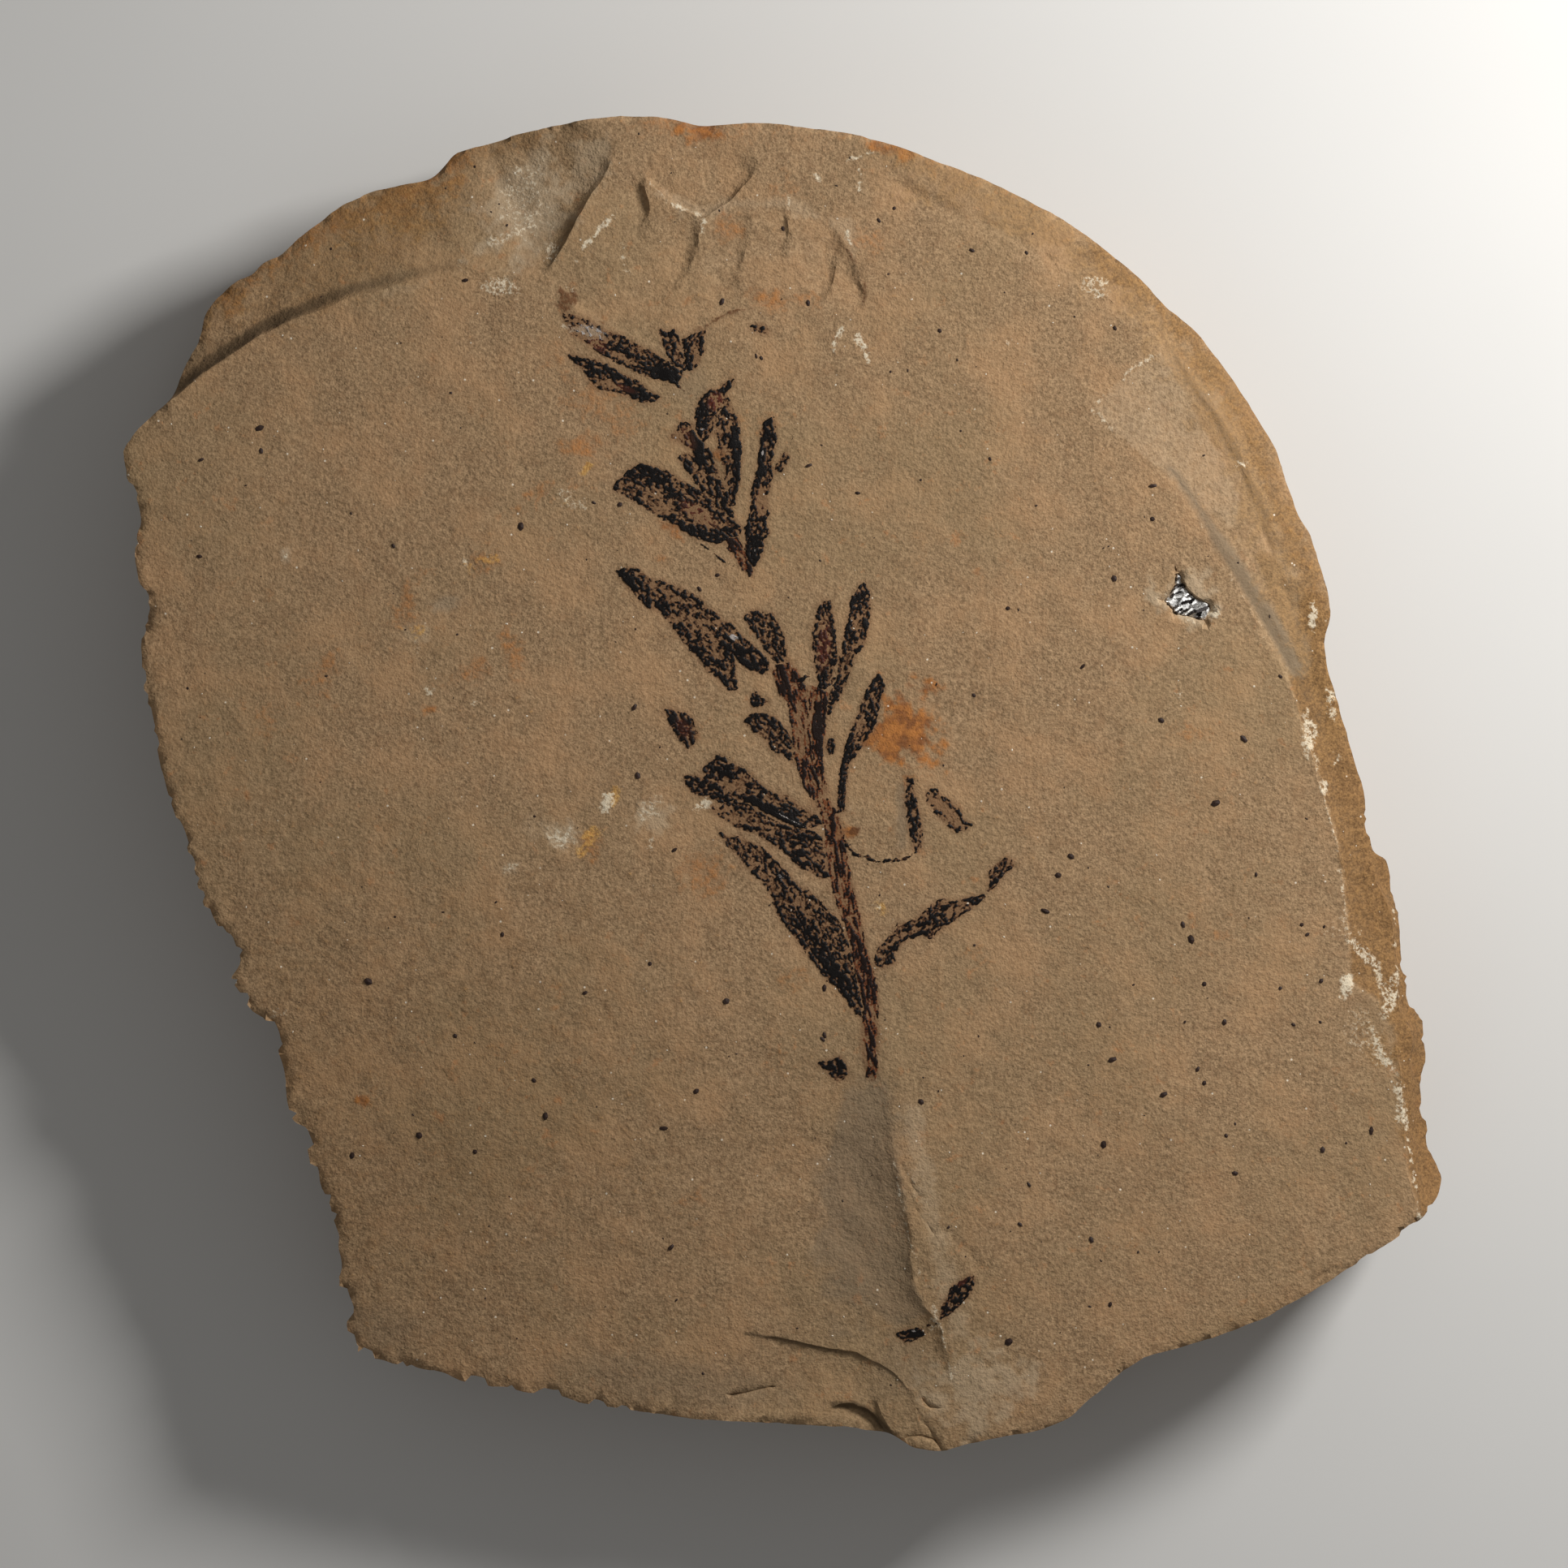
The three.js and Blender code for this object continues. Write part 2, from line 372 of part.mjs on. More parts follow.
// The nearest point of a line: the distance to it, positive to the line's left, and the values
// (step, slope) that the line holds there.
function nearest(line, x, y) {
  let best = { distance: Infinity };
  for (let i = 0; i + 1 < line.length; i += 1) {
    const [ax, ay, ...from] = line[i];
    const [bx, by, ...to] = line[i + 1];
    const [dx, dy] = [bx - ax, by - ay];
    const t = THREE.MathUtils.clamp(((x - ax) * dx + (y - ay) * dy) / (dx * dx + dy * dy), 0, 1);
    const [px, py] = [x - ax - t * dx, y - ay - t * dy];
    const distance = Math.hypot(px, py);
    if (distance < best.distance) {
      const side = Math.sign(dx * (y - ay) - dy * (x - ax)) || 1;
      best = { distance, side, values: from.map((value, k) => value + t * (to[k] - value)) };
    }
  }
  return best;
}

function inside(polygon, x, y) {
  let odd = false;
  polygon.forEach(([ax, ay], i) => {
    const [bx, by] = polygon[(i + 1) % polygon.length];
    if (ay > y !== by > y && x < ax + ((y - ay) / (by - ay)) * (bx - ax)) odd = !odd;
  });
  return odd;
}

function closed(polygon) {
  return [...polygon, polygon[0]];
}

function centre(polygon) {
  const sum = polygon.reduce(([sx, sy], [x, y]) => [sx + x, sy + y], [0, 0]);
  return sum.map((value) => value / polygon.length);
}

function scaled(polygon, factor) {
  const [cx, cy] = centre(polygon);
  return polygon.map(([x, y]) => [cx + (x - cx) * factor, cy + (y - cy) * factor]);
}

// Points along a line, no further apart than the spacing, and moved sideways to its left.
function along(line, spacing, sideways = 0) {
  const points = [];
  for (let i = 0; i + 1 < line.length; i += 1) {
    const [ax, ay] = line[i];
    const [bx, by] = line[i + 1];
    const length = Math.hypot(bx - ax, by - ay);
    const pieces = Math.max(1, Math.ceil(length / spacing));
    const [nx, ny] = [(-(by - ay) / length) * sideways, ((bx - ax) / length) * sideways];
    for (let k = 0; k < pieces; k += 1) {
      const t = k / pieces;
      points.push([ax + t * (bx - ax) + nx, ay + t * (by - ay) + ny]);
    }
  }
  return points;
}

// A repeatable value from 0 to 1 for a place in the plan.
function scatter(x, y) {
  const wave = Math.sin(x * 12.9898 + y * 78.233) * 43758.5453;
  return wave - Math.floor(wave);
}

// ---- Height of the stone's upper face ------------------------------------------------------------

function breakDrop({ low, reach, heal, line }, x, y) {
  const { distance, side, values } = nearest(line, x, y);
  if (side !== low) return 0;
  const [step, slope] = values;
  const sharp = step * (1 - Math.exp(-distance / reach));
  if (heal) return sharp * Math.exp(-distance / heal);
  return Math.max(0, sharp + slope * distance);
}

function openFace(x, y) {
  const sag = Math.max(0, -0.6 * x - 0.8 * y - SAG_START);
  const drops = Object.values(breaks).map((item) => breakDrop(item, x, y));
  const rim = nearest(closed(outline), x, y).distance;
  const rounding = RIM_DROP * Math.max(0, 1 - rim / RIM_ROUND) ** 2;
  return BEDDING - SAG * sag * sag - drops.reduce((sum, drop) => sum + drop, 0) - rounding;
}

const seats = Object.values(lowLeaves).map((leaf) => ({
  leaf,
  height: openFace(...centre(leaf)),
}));

function faceHeight(x, y) {
  if (inside(scaled(pit, PIT_WALL + 0.02), x, y)) return BEDDING - PIT_DEPTH;
  for (const { leaf, height } of seats) {
    const reach = nearest(closed(leaf), x, y).distance;
    if (inside(leaf, x, y) || reach <= SEAT_MARGIN) return height;
  }
  return openFace(x, y);
}

// ---- Slab mesh -----------------------------------------------------------------------------------

// Points of the upper face: the rim first, then the breaks, the pit and the seats, then the open
// field, whose points keep clear of all the others.
function facePoints(rim) {
  const fixed = [...rim];
  const add = (points, clearance) => {
    for (const [x, y] of points) {
      const free = fixed.every(([px, py]) => Math.hypot(px - x, py - y) > clearance);
      const clear = nearest(closed(outline), x, y).distance > RIM_CLEAR;
      if (free && clear && inside(outline, x, y)) fixed.push([x, y]);
    }
  };
  for (const item of Object.values(breaks)) {
    const foot = item.low * Math.min(1.6, item.reach * 2);
    add(along(item.line, LINE_STEP), 0.35);
    add(along(item.line, LINE_STEP, foot), 0.35);
  }
  for (const size of [1, PIT_WALL, CRUST + 0.06, 0.4]) add(scaled(pit, size), 0.08);
  for (const { leaf } of seats) {
    const grown = SEAT_MARGIN * 0.9;
    for (const [dx, dy] of [[1, 1], [1, -1], [-1, 1], [-1, -1]]) {
      add(leaf.map(([x, y]) => [x + (dx * grown) / 1.5, y + (dy * grown) / 1.5]), 0.3);
    }
  }
  const inner = rim.map(([x, y]) => {
    const share = 1 - (RIM_ROUND * 1.15) / Math.hypot(x, y);
    return [x * share, y * share];
  });
  add(inner, 0.6);
  const field = [];
  for (let row = -20; row <= 20; row += 1) {
    for (let column = -18; column <= 18; column += 1) {
      const x = (column + (row % 2) / 2) * FIELD_STEP;
      const y = row * FIELD_STEP * 0.866;
      const shift = 0.25 * FIELD_STEP;
      field.push([x + (scatter(x, y) - 0.5) * shift, y + (scatter(y, x) - 0.5) * shift]);
    }
  }
  add(field, FIELD_STEP * 0.45);
  return fixed;
}

// Delaunay triangles of plan points, taken from the lower side of the convex hull of the points
// raised on a paraboloid. Triangles outside the outline are left out.
function delaunay(points) {
  const raised = points.map(([x, y]) => new THREE.Vector3(x, y, (x * x + y * y) / 50));
  const index = new Map(raised.map((point, i) => [point, i]));
  const triangles = [];
  for (const face of new ConvexHull().setFromPoints(raised).faces) {
    if (face.normal.z > -1e-9) continue;
    const corners = [face.edge.prev, face.edge, face.edge.next];
    const [a, b, c] = corners.map((edge) => index.get(edge.head().point));
    const [x, y] = centre([points[a], points[b], points[c]]);
    if (inside(outline, x, y)) triangles.push([a, c, b]);
  }
  return triangles;
}

function slabGeometry() {
  const rim = along(closed(outline), OUTLINE_STEP);
  const points = facePoints(rim);
  const vertices = points.map(([x, y]) => [x, y, faceHeight(x, y)]);
  const triangles = delaunay(points);

  let above = rim.map((point, i) => i);
  for (const { height, inset, rough } of SIDE) {
    const below = rim.map(([x, y], i) => {
      const radius = Math.hypot(x, y);
      const share = 1 - (inset + rough * (scatter(x, y + height) - 0.5)) / radius;
      vertices.push([x * share, y * share, vertices[i][2] * height]);
      return vertices.length - 1;
    });
    for (let i = 0; i < rim.length; i += 1) {
      const next = (i + 1) % rim.length;
      triangles.push([above[i], above[next], below[next]], [above[i], below[next], below[i]]);
    }
    above = below;
  }
  const foot = above.map((i) => new THREE.Vector2(vertices[i][0], vertices[i][1]));
  for (const face of THREE.ShapeUtils.triangulateShape(foot, [])) {
    triangles.push(face.map((i) => above[i]).reverse());
  }

  const geometry = new THREE.BufferGeometry();
  geometry.setAttribute('position', new THREE.Float32BufferAttribute(vertices.flat(), 3));
  geometry.setIndex(triangles.flat());
  return geometry;
}

// ---- Film and crust meshes -----------------------------------------------------------------------

function plate(polygon, bottom, height) {
  const shape = new THREE.Shape(polygon.map(([x, y]) => new THREE.Vector2(x, y)));
  const geometry = new THREE.ExtrudeGeometry(shape, { depth: height, bevelEnabled: false });
  geometry.deleteAttribute('normal');
  geometry.deleteAttribute('uv');
  return mergeVertices(geometry.translate(0, 0, bottom), 1e-4);
}

function toSolid(geometry) {
  const vertProperties = new Float32Array(geometry.attributes.position.array);
  const triVerts = new Uint32Array(geometry.index.array);
  return new wasm.Manifold(new wasm.Mesh({ numProp: 3, vertProperties, triVerts }));
}

function toGeometry(solid) {
  const { vertProperties, triVerts } = solid.getMesh();
  const geometry = new THREE.BufferGeometry();
  geometry.setAttribute('position', new THREE.BufferAttribute(vertProperties, 3));
  geometry.setIndex(new THREE.BufferAttribute(triVerts, 1));
  return geometry;
}

// Cuts a piece back from its neighbours: each neighbour is taken away at eight places around its
// own, which leaves the gap. Of a piece that falls apart, the largest part stays.
function trimmed(piece, neighbours, gap) {
  let solid = piece;
  for (const neighbour of neighbours) {
    for (let k = 0; k < 8; k += 1) {
      const angle = (k * Math.PI) / 4;
      const [x, y] = [gap * Math.cos(angle), gap * Math.sin(angle)];
      solid = solid.subtract(neighbour.translate([x, y, 0]));
    }
  }
  return solid.decompose().sort((a, b) => b.volume() - a.volume())[0];
}

// ---- Materials and assembly ----------------------------------------------------------------------

const stone = new THREE.MeshStandardMaterial({ color: 0x82694f, roughness: 0.92, metalness: 0 });
const coal = new THREE.MeshStandardMaterial({ color: 0x1b1612, roughness: 0.45, metalness: 0 });
const wood = new THREE.MeshStandardMaterial({ color: 0x472d19, roughness: 0.6, metalness: 0 });
const ore = new THREE.MeshStandardMaterial({ color: 0x9a958d, roughness: 0.3, metalness: 0.6 });

function named(name, geometry, material) {
  const mesh = new THREE.Mesh(geometry, material);
  mesh.name = name;
  return mesh;
}

const plateGroup = new THREE.Group();
const slab = slabGeometry();
plateGroup.add(named('slab', slab, stone));

const crust = toSolid(plate(scaled(pit, CRUST), BEDDING - PIT_DEPTH, CRUST_RISE));
plateGroup.add(named('mineral_crust', toGeometry(trimmed(crust, [toSolid(slab)], CRUST_GAP)), ore));

const twig = new THREE.Group();
const laid = [];
for (const [name, polygon] of Object.entries({ ...stem, ...leaves, ...scraps })) {
  const whole = toSolid(plate(polygon, BEDDING, FILM));
  const geometry = toGeometry(trimmed(whole, laid, FILM_GAP));
  laid.push(toSolid(plate(polygon, BEDDING - 1, FILM + 2)));
  twig.add(named(name, geometry, name.startsWith('stem') ? wood : coal));
}
Object.entries(lowLeaves).forEach(([name, polygon], i) => {
  twig.add(named(name, plate(polygon, seats[i].height, FILM), coal));
});
plateGroup.add(twig);

export default plateGroup;
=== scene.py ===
import math

import bpy
import numpy as np
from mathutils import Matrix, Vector, geometry, noise
from mathutils.bvhtree import BVHTree


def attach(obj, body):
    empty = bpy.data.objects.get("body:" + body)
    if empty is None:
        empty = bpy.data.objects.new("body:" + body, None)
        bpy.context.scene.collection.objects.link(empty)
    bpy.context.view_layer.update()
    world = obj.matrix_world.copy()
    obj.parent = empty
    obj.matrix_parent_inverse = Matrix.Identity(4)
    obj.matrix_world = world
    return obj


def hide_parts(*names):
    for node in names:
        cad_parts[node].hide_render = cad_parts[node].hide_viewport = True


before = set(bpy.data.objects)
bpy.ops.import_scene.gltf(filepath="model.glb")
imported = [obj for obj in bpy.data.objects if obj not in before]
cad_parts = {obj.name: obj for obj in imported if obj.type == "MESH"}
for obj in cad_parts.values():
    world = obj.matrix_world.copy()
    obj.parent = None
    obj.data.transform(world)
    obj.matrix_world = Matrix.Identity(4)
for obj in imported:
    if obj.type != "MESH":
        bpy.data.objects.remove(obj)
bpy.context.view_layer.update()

# ---- The stone -----------------------------------------------------------------------------------
# One slab of fine tan siltstone, split along its bedding. Its rim and bevels are broken, with
# flake scars at the top, a weathered rind along the right side and a ridge at the foot.

MM = 0.001            # one millimetre in metres
BEDDING = 14.0        # height of the bedding face
SWELL_ROOM = 0.05     # the face starts this far under that height, so that it can swell
RIM_STEP = 0.36       # spacing of the points along the rim
FACE_STEP = 0.385     # spacing of the points of the upper face
UNDER_STEP = 2.0      # spacing of the points of the underside
SIDE_ROWS = 24        # rows of faces down the broken side
RIM_ROUND = 0.36      # width of the worn rounding along the rim
RIM_DROP = 0.15       # how far that rounding falls
SAG_START = 17        # the face sags towards the lower left, beyond this distance
SAG = 0.0016          # the sag for each square millimetre beyond it
BED = 0.42            # thickness of the beds that show as steps in the bevels
BED_STEP = 0.03       # half height of those steps
BLEND = 0.5           # how softly the values of a break's neighbouring parts run together
LINE_STEP = 0.36      # spacing of the points along the breaks and cracks
BREAK_FOOT = 0.7      # the foot of a break lies at most this far from its edge
PIT_STEP = 0.22       # spacing of the points around the hollow
PIT_RINGS = [1, 0.8, 0.5]  # these points stand in rings, each a share of the hollow's outline
FIELD_GAP = 0.17      # how far the face's other points keep from all those lines
EVEN_PASSES = 80      # times that the rim is evened out, for the rows of the lower side
EVEN_ROWS = 7         # the side's rows leave the rim's notches over this many rows
WORN_ROWS = 4         # and the side turns rough over this many
BED_DEPTH = 0.32      # how far the side's beds stand in or out
LUMP_DEPTH = 0.75     # how far its lumps do
UNDER_WAVE = 14       # length of the underside's waves
UNDER_LIFT = 0.3      # height of those waves
SAME_CORNER = 0.01    # underside points closer than this to the side's foot are its corners
SIDE_STAIN = 0.35     # how strongly the face's stains carry on down the side
SHARP = math.radians(38)  # the stone's edges look sharp where they turn by more than this

# Height up the side as a share of the rim's height, and how far the side lies inside the rim there.
SIDE_PROFILE = [[0, 2.9], [0.1, 1.5], [0.33, 1.3], [0.4, 0.7], [0.62, 0.4], [0.7, 0.9], [0.86, 0.3], [1, 0]]

# Each break is a line across the face: [x, y, drop beside it, fall per millimetre]. The stone has
# split away on its left where side is 1, and on its right where it is -1. The drop is made over
# the reach. A break with a heal distance has no fall, and its drop fades out over that distance.
BREAKS = [
    {"side": 1, "reach": 0.4, "line": [
        [-48.1, 28.9, 0.6, 0.1], [-45.7, 30.8, 1.1, 0.16], [-43.7, 32.2, 1.1, 0.18],
        [-41.7, 33.7, 1, 0.2], [-39.5, 34.9, 0.9, 0.2], [-37.3, 35.9, 0.8, 0.2],
        [-33.3, 37.5, 0.6, 0.2], [-30.3, 38.3, 0.5, 0.19], [-27.3, 39.2, 0.35, 0.18],
        [-24.4, 39.9, 0.2, 0.16], [-22.6, 39.5, 0.12, 0.15], [-20.1, 39, 0.12, 0.14],
        [-18.4, 39.2, 0.35, 0.14], [-17.6, 40.4, 0.7, 0.13], [-16.6, 42.3, 0.8, 0.12],
        [-15, 45.2, 0.8, 0.11], [-13.8, 47.2, 0.5, 0.1], [-12.9, 49.2, 0.1, 0.08]]},
    {"side": 1, "reach": 0.2, "heal": 6, "line": [
        [-18.6, 39.3, 0], [-17.3, 38.3, 0.12], [-15.9, 36.5, 0.16], [-13.8, 35.3, 0.16],
        [-11, 34.2, 0.14], [-9.5, 35.3, 0.14], [-6, 35.3, 0.16], [-4.3, 36.2, 0.18],
        [-2.1, 36.7, 0.14], [1.5, 36.2, 0.06], [4, 36.1, 0.08], [5.9, 36.5, 0.16],
        [6.2, 37.9, 0.26], [5.5, 39.6, 0.26], [4.5, 41.7, 0.14], [2.7, 44.7, 0.04], [1.2, 47.8, 0]]},
    {"side": 1, "reach": 0.2, "heal": 5, "line": [
        [-10.9, 47.2, 0], [-10.3, 46.2, 0.2], [-8.4, 44.5, 0.25], [-6.3, 43.5, 0.3],
        [-4.2, 45, 0.5], [-2.6, 46.7, 0.4], [-1.9, 48, 0]]},
    {"side": -1, "reach": 0.3, "heal": 1.6, "line": [
        [-10.7, 46.4, 0], [-10.6, 45.9, 0.7], [-10.4, 44.6, 0.8], [-10.6, 43.3, 0.35], [-10.9, 41.4, 0]]},
    {"side": -1, "reach": 0.35, "heal": 2.4, "line": [
        [-6.3, 43.5, 0], [-6.4, 42.9, 0.5], [-6.7, 41.2, 0.5], [-7.6, 39.2, 0.4], [-8.7, 37.6, 0.2],
        [-10, 36.6, 0]]},
    {"side": -1, "reach": 0.35, "heal": 2, "line": [
        [-2.4, 44.6, 0], [-2.6, 43.2, 0.35], [-2.9, 41.6, 0.45], [-3.2, 40.2, 0.4], [-4.1, 37.8, 0]]},
    {"side": -1, "reach": 0.3, "heal": 1.6, "line": [
        [0.1, 44.3, 0], [0.3, 43.6, 0.4], [0.5, 42.3, 0.4], [0.2, 41, 0.2], [0, 39.4, 0]]},
    {"side": -1, "reach": 0.35, "heal": 1.8, "line": [
        [4.5, 41.7, 0], [4.3, 41, 0.4], [4, 39.3, 0.5], [3.5, 37.9, 0.35], [2.9, 36.7, 0]]},
    {"side": 1, "reach": 0.8, "line": [
        [23.5, 29.3, 0, 0], [24.6, 28, 0.04, 0.04], [26.9, 26.1, 0.06, 0.05],
        [28.9, 24.3, 0.1, 0.06], [31.9, 20.3, 0.2, 0.07], [34.6, 16.5, 0.4, 0.1],
        [36.5, 12.2, 0.5, 0.12], [38.2, 9.3, 0.6, 0.15], [39.4, 6.1, 0.6, 0.2],
        [40.5, 2.6, 0.6, 0.25], [41.4, -0.6, 0.6, 0.3], [42.3, -3.5, 0.6, 0.3],
        [42.9, -7, 0.6, 0.3], [43.5, -11.8, 0.5, 0.3], [43.4, -15.3, 0.3, 0.3],
        [45.9, -16.8, 0.2, 0.25], [47.1, -19, 0.5, 0.3], [47.4, -22.9, 0.8, 0.35],
        [48, -29.9, 0.7, 0.3], [49, -33.4, 0.3, 0.2]]},
    {"side": 1, "reach": 0.4, "line": [
        [8.9, 45.9, 0, 0], [13.4, 44, 0.06, 0.08], [18.1, 41.5, 0.12, 0.14], [22.7, 39, 0.2, 0.2],
        [27.5, 35.7, 0.25, 0.26], [29.2, 33.4, 0.3, 0.3], [31.5, 30.5, 0.3, 0.32],
        [33.5, 28, 0.3, 0.35], [35.8, 23.3, 0.3, 0.35], [36.9, 20.3, 0.2, 0.3],
        [38.5, 16.6, 0.15, 0.2], [39.6, 12.8, 0, 0]]},
    {"side": 1, "reach": 0.35, "line": [
        [45, -4.7, 0, 0], [45.7, -7.5, 1, 0.1], [46.9, -10, 1.2, 0.2], [47.2, -14.7, 0.8, 0.2],
        [47.3, -17.2, 1.2, 0.2], [48.4, -19, 1.4, 0.15], [48.2, -22.8, 1.2, 0.1],
        [48.4, -27.2, 1, 0.1], [48.9, -30.3, 0.8, 0.2], [49.5, -33.2, 0, 0]]},
    {"side": -1, "reach": 4, "heal": 14, "line": [
        [6.8, -18.3, 0], [7.5, -22.3, 0.4], [8.2, -24.8, 0.75], [8.4, -29.1, 1.15],
        [9.2, -30.9, 1.4], [9.7, -35.4, 1.4], [9.9, -38.2, 1.3], [10.9, -40.4, 1.1],
        [12, -41.3, 0.9], [12.5, -43.4, 0.7], [12.9, -45.1, 0.4], [13, -47.7, 0]]},
    {"side": -1, "reach": 0.3, "line": [
        [8.3, -26.6, 0, 0], [8.5, -29.1, 0.06, 0], [9.2, -31.2, 0.1, 0], [9.8, -35.4, 0.14, 0],
        [9.9, -38.2, 0.14, 0], [10.9, -40.4, 0.14, 0], [12, -41.3, 0.16, 0], [12.5, -43.4, 0.18, 0],
        [12.9, -46.1, 0, 0]]},
    {"side": -1, "reach": 0.18, "heal": 1.1, "line": [
        [3.2, -48.1, 0], [4.2, -47.8, 0.5], [5.4, -47.8, 0.9], [6.4, -48.25, 1.1], [7.1, -48.8, 1],
        [7.9, -49.7, 0.7], [8.6, -50.4, 0.4], [9, -51, 0]]},
    {"side": -1, "reach": 0.15, "heal": 2, "line": [
        [6.9, -47.1, 0], [7.4, -48.2, 0.35], [7.9, -49.1, 0.4], [8.6, -50.2, 0.3], [9, -51, 0]]},
    {"side": -1, "reach": 0.1, "line": [
        [-3, -42.3, 0, 0], [-1.9, -42.4, 0.1, 0.01], [-0.3, -42.6, 0.24, 0.02], [1.6, -43.2, 0.24, 0.03],
        [3.4, -43.5, 0.25, 0.04], [5.5, -43.8, 0.28, 0.05], [7.4, -44.6, 0.24, 0.07],
        [8.4, -45.2, 0.15, 0.08], [9.7, -46.7, 0.09, 0.07], [10.2, -48.1, 0.05, 0.04], [10.6, -50.6, 0, 0]]},
]

# Narrow cracks and worn grooves: width, depth, and the line that they follow.
CRACKS = [
    [0.14, 0.3, [[-3.89, -47.16], [-2.4, -46.95], [-0.89, -46.59]]],
    [0.12, 0.12, [[9, -29.2], [9.8, -31], [11.1, -32.4]]],
    [0.12, 0.1, [[9.2, -30.9], [10.5, -33], [11.6, -34.8]]],
    [0.45, 0.16, [[12.5, -34.7], [13.7, -35.6], [15.1, -37.1]]],
    [0.14, 0.2, [[10.3, -48.2], [10.6, -49.2], [11.3, -50.1], [12, -51.1]]],
    [0.12, 0.22, [[9.6, -50.4], [10.7, -50.4], [11.8, -50.7]]],
    [0.12, 0.2, [[10.8, -47.6], [11.3, -48], [11.9, -48]]],
    [0.25, 0.3, [[40.3, -38.6], [41.2, -38.1], [41.9, -37.6]]],
    [0.25, 0.25, [[36.2, -41], [37, -40.6]]],
    [0.5, 0.22, [[8.6, 46.1], [18, 41.8], [27.4, 35.9], [33.3, 28.2], [36.8, 20.5], [39.3, 13.5]]],
    [0.6, 0.14, [[35.6, 18.5], [38.6, 12.6], [40.6, 7.2], [42.4, 0.2]]],
]

# The star-shaped hollow that held a mineral: its mouth, and how deep it goes.
PIT_DEPTH = 0.8
PIT = [
    [30.15, 16.6], [30.6, 16.2], [31.1, 15.1], [31.75, 14.45], [32.85, 13.95], [33.05, 13.35],
    [32.5, 12.35], [31.25, 12.7], [30, 12.95], [29.75, 13.45], [29, 14.1], [29.75, 14.95],
    [30, 15.6],
]


def upper_loop(node, least_up):
    """The edge of a solid's upper face, as points in order, anticlockwise from above."""
    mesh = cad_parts[node].data
    edges = set()
    for face in mesh.polygons:
        if face.normal.z < least_up:
            continue
        spots = [tuple(round(c * 1e6) for c in mesh.vertices[i].co[:2]) for i in face.vertices]
        for a, b in zip(spots, spots[1:] + spots[:1]):
            if (b, a) in edges:
                edges.discard((b, a))
            else:
                edges.add((a, b))
    following = dict(edges)
    loops = []
    while following:
        start, spot = following.popitem()
        loop = [start]
        while spot in following:
            loop.append(spot)
            spot = following.pop(spot)
        loops.append(loop)
    return np.array(max(loops, key=len), float) * MM


def closed(loop):
    """A loop's points with the first one once more at the end."""
    return np.vstack([loop, loop[:1]])


def smoothed(loop, passes):
    """The loop with each point drawn towards its neighbours, a number of times."""
    for _ in range(passes):
        loop = 0.5 * loop + 0.25 * (np.roll(loop, 1, axis=0) + np.roll(loop, -1, axis=0))
    return loop


def walked(path):
    """The distance walked along a path at each of its points."""
    return np.concatenate([[0], np.cumsum(np.hypot(*np.diff(path, axis=0).T))])


def resampled(loop, step):
    """The same closed loop with evenly spaced points, its corners eased."""
    path = closed(loop)
    along = walked(path)
    places = np.linspace(0, along[-1], round(along[-1] / step), endpoint=False)
    return smoothed(np.column_stack([np.interp(places, along, path[:, k]) for k in (0, 1)]), 2)


def grain(spots, size, octaves=2, seed=0.0):
    """Smooth random values, nearly all within -1 to 1, that change over the given size."""
    places = np.asarray(spots) / size
    return 1.6 * np.array([noise.fractal((x, y, seed), 1.0, 2.0, octaves) for x, y in places])


def beside(line, spots):
    """Each spot's distance to a line, 1 or -1 for the line's left or right, and its values there,
    blended over the line's near parts and faded out past its ends."""
    line = np.asarray(line, float)
    distance = np.full(len(spots), np.inf)
    side = np.ones(len(spots))
    past = np.zeros(len(spots))
    parts = []
    last = len(line) - 2
    for number, (a, b) in enumerate(zip(line[:-1], line[1:])):
        run = b[:2] - a[:2]
        out = spots - a[:2]
        share = out @ run / (run @ run)
        over = np.maximum(-share if number == 0 else 0, share - 1 if number == last else 0)
        share = np.clip(share, 0, 1)
        off = np.hypot(*(out - share[:, None] * run).T)
        near = off < distance
        distance[near] = off[near]
        side[near] = np.where(run[0] * out[near, 1] > run[1] * out[near, 0], 1, -1)
        past[near] = (np.maximum(0, over) * math.hypot(*run) * np.ones(len(spots)))[near]
        parts.append((off, a[2:] + share[:, None] * (b[2:] - a[2:])))
    if line.shape[1] == 2:
        return distance, side, None
    weights = [np.exp((distance - off) / BLEND) for off, _ in parts]
    values = sum(weight[:, None] * value for weight, (_, value) in zip(weights, parts))
    return distance, side, values / sum(weights)[:, None] * np.exp(-past / BLEND)[:, None]


def inside(loop, spots):
    """Whether each spot lies within a closed loop."""
    odd = np.zeros(len(spots), bool)
    x, y = spots.T
    for (ax, ay), (bx, by) in zip(loop, np.roll(loop, -1, axis=0)):
        if ay != by:
            odd ^= ((ay > y) != (by > y)) & (x < ax + (y - ay) / (by - ay) * (bx - ax))
    return odd


def eased(value, low, high):
    """0 below low, 1 above high, and smooth between them."""
    share = np.clip((value - low) / (high - low), 0, 1)
    return share * share * (3 - 2 * share)


def wander(spots):
    """How far the breaks stray from their even lines at each spot."""
    return np.column_stack([
        0.14 * grain(spots, 2.4, 2, 3.1) + 0.04 * grain(spots, 0.6, 2, 5.2),
        0.14 * grain(spots, 2.4, 2, 7.7) + 0.04 * grain(spots, 0.6, 2, 9.4),
    ])


pit_loop = np.array(PIT)
pit_line = closed(pit_loop)
cad_rim = upper_loop("slab", 0.25)
rim = resampled(cad_rim, RIM_STEP)

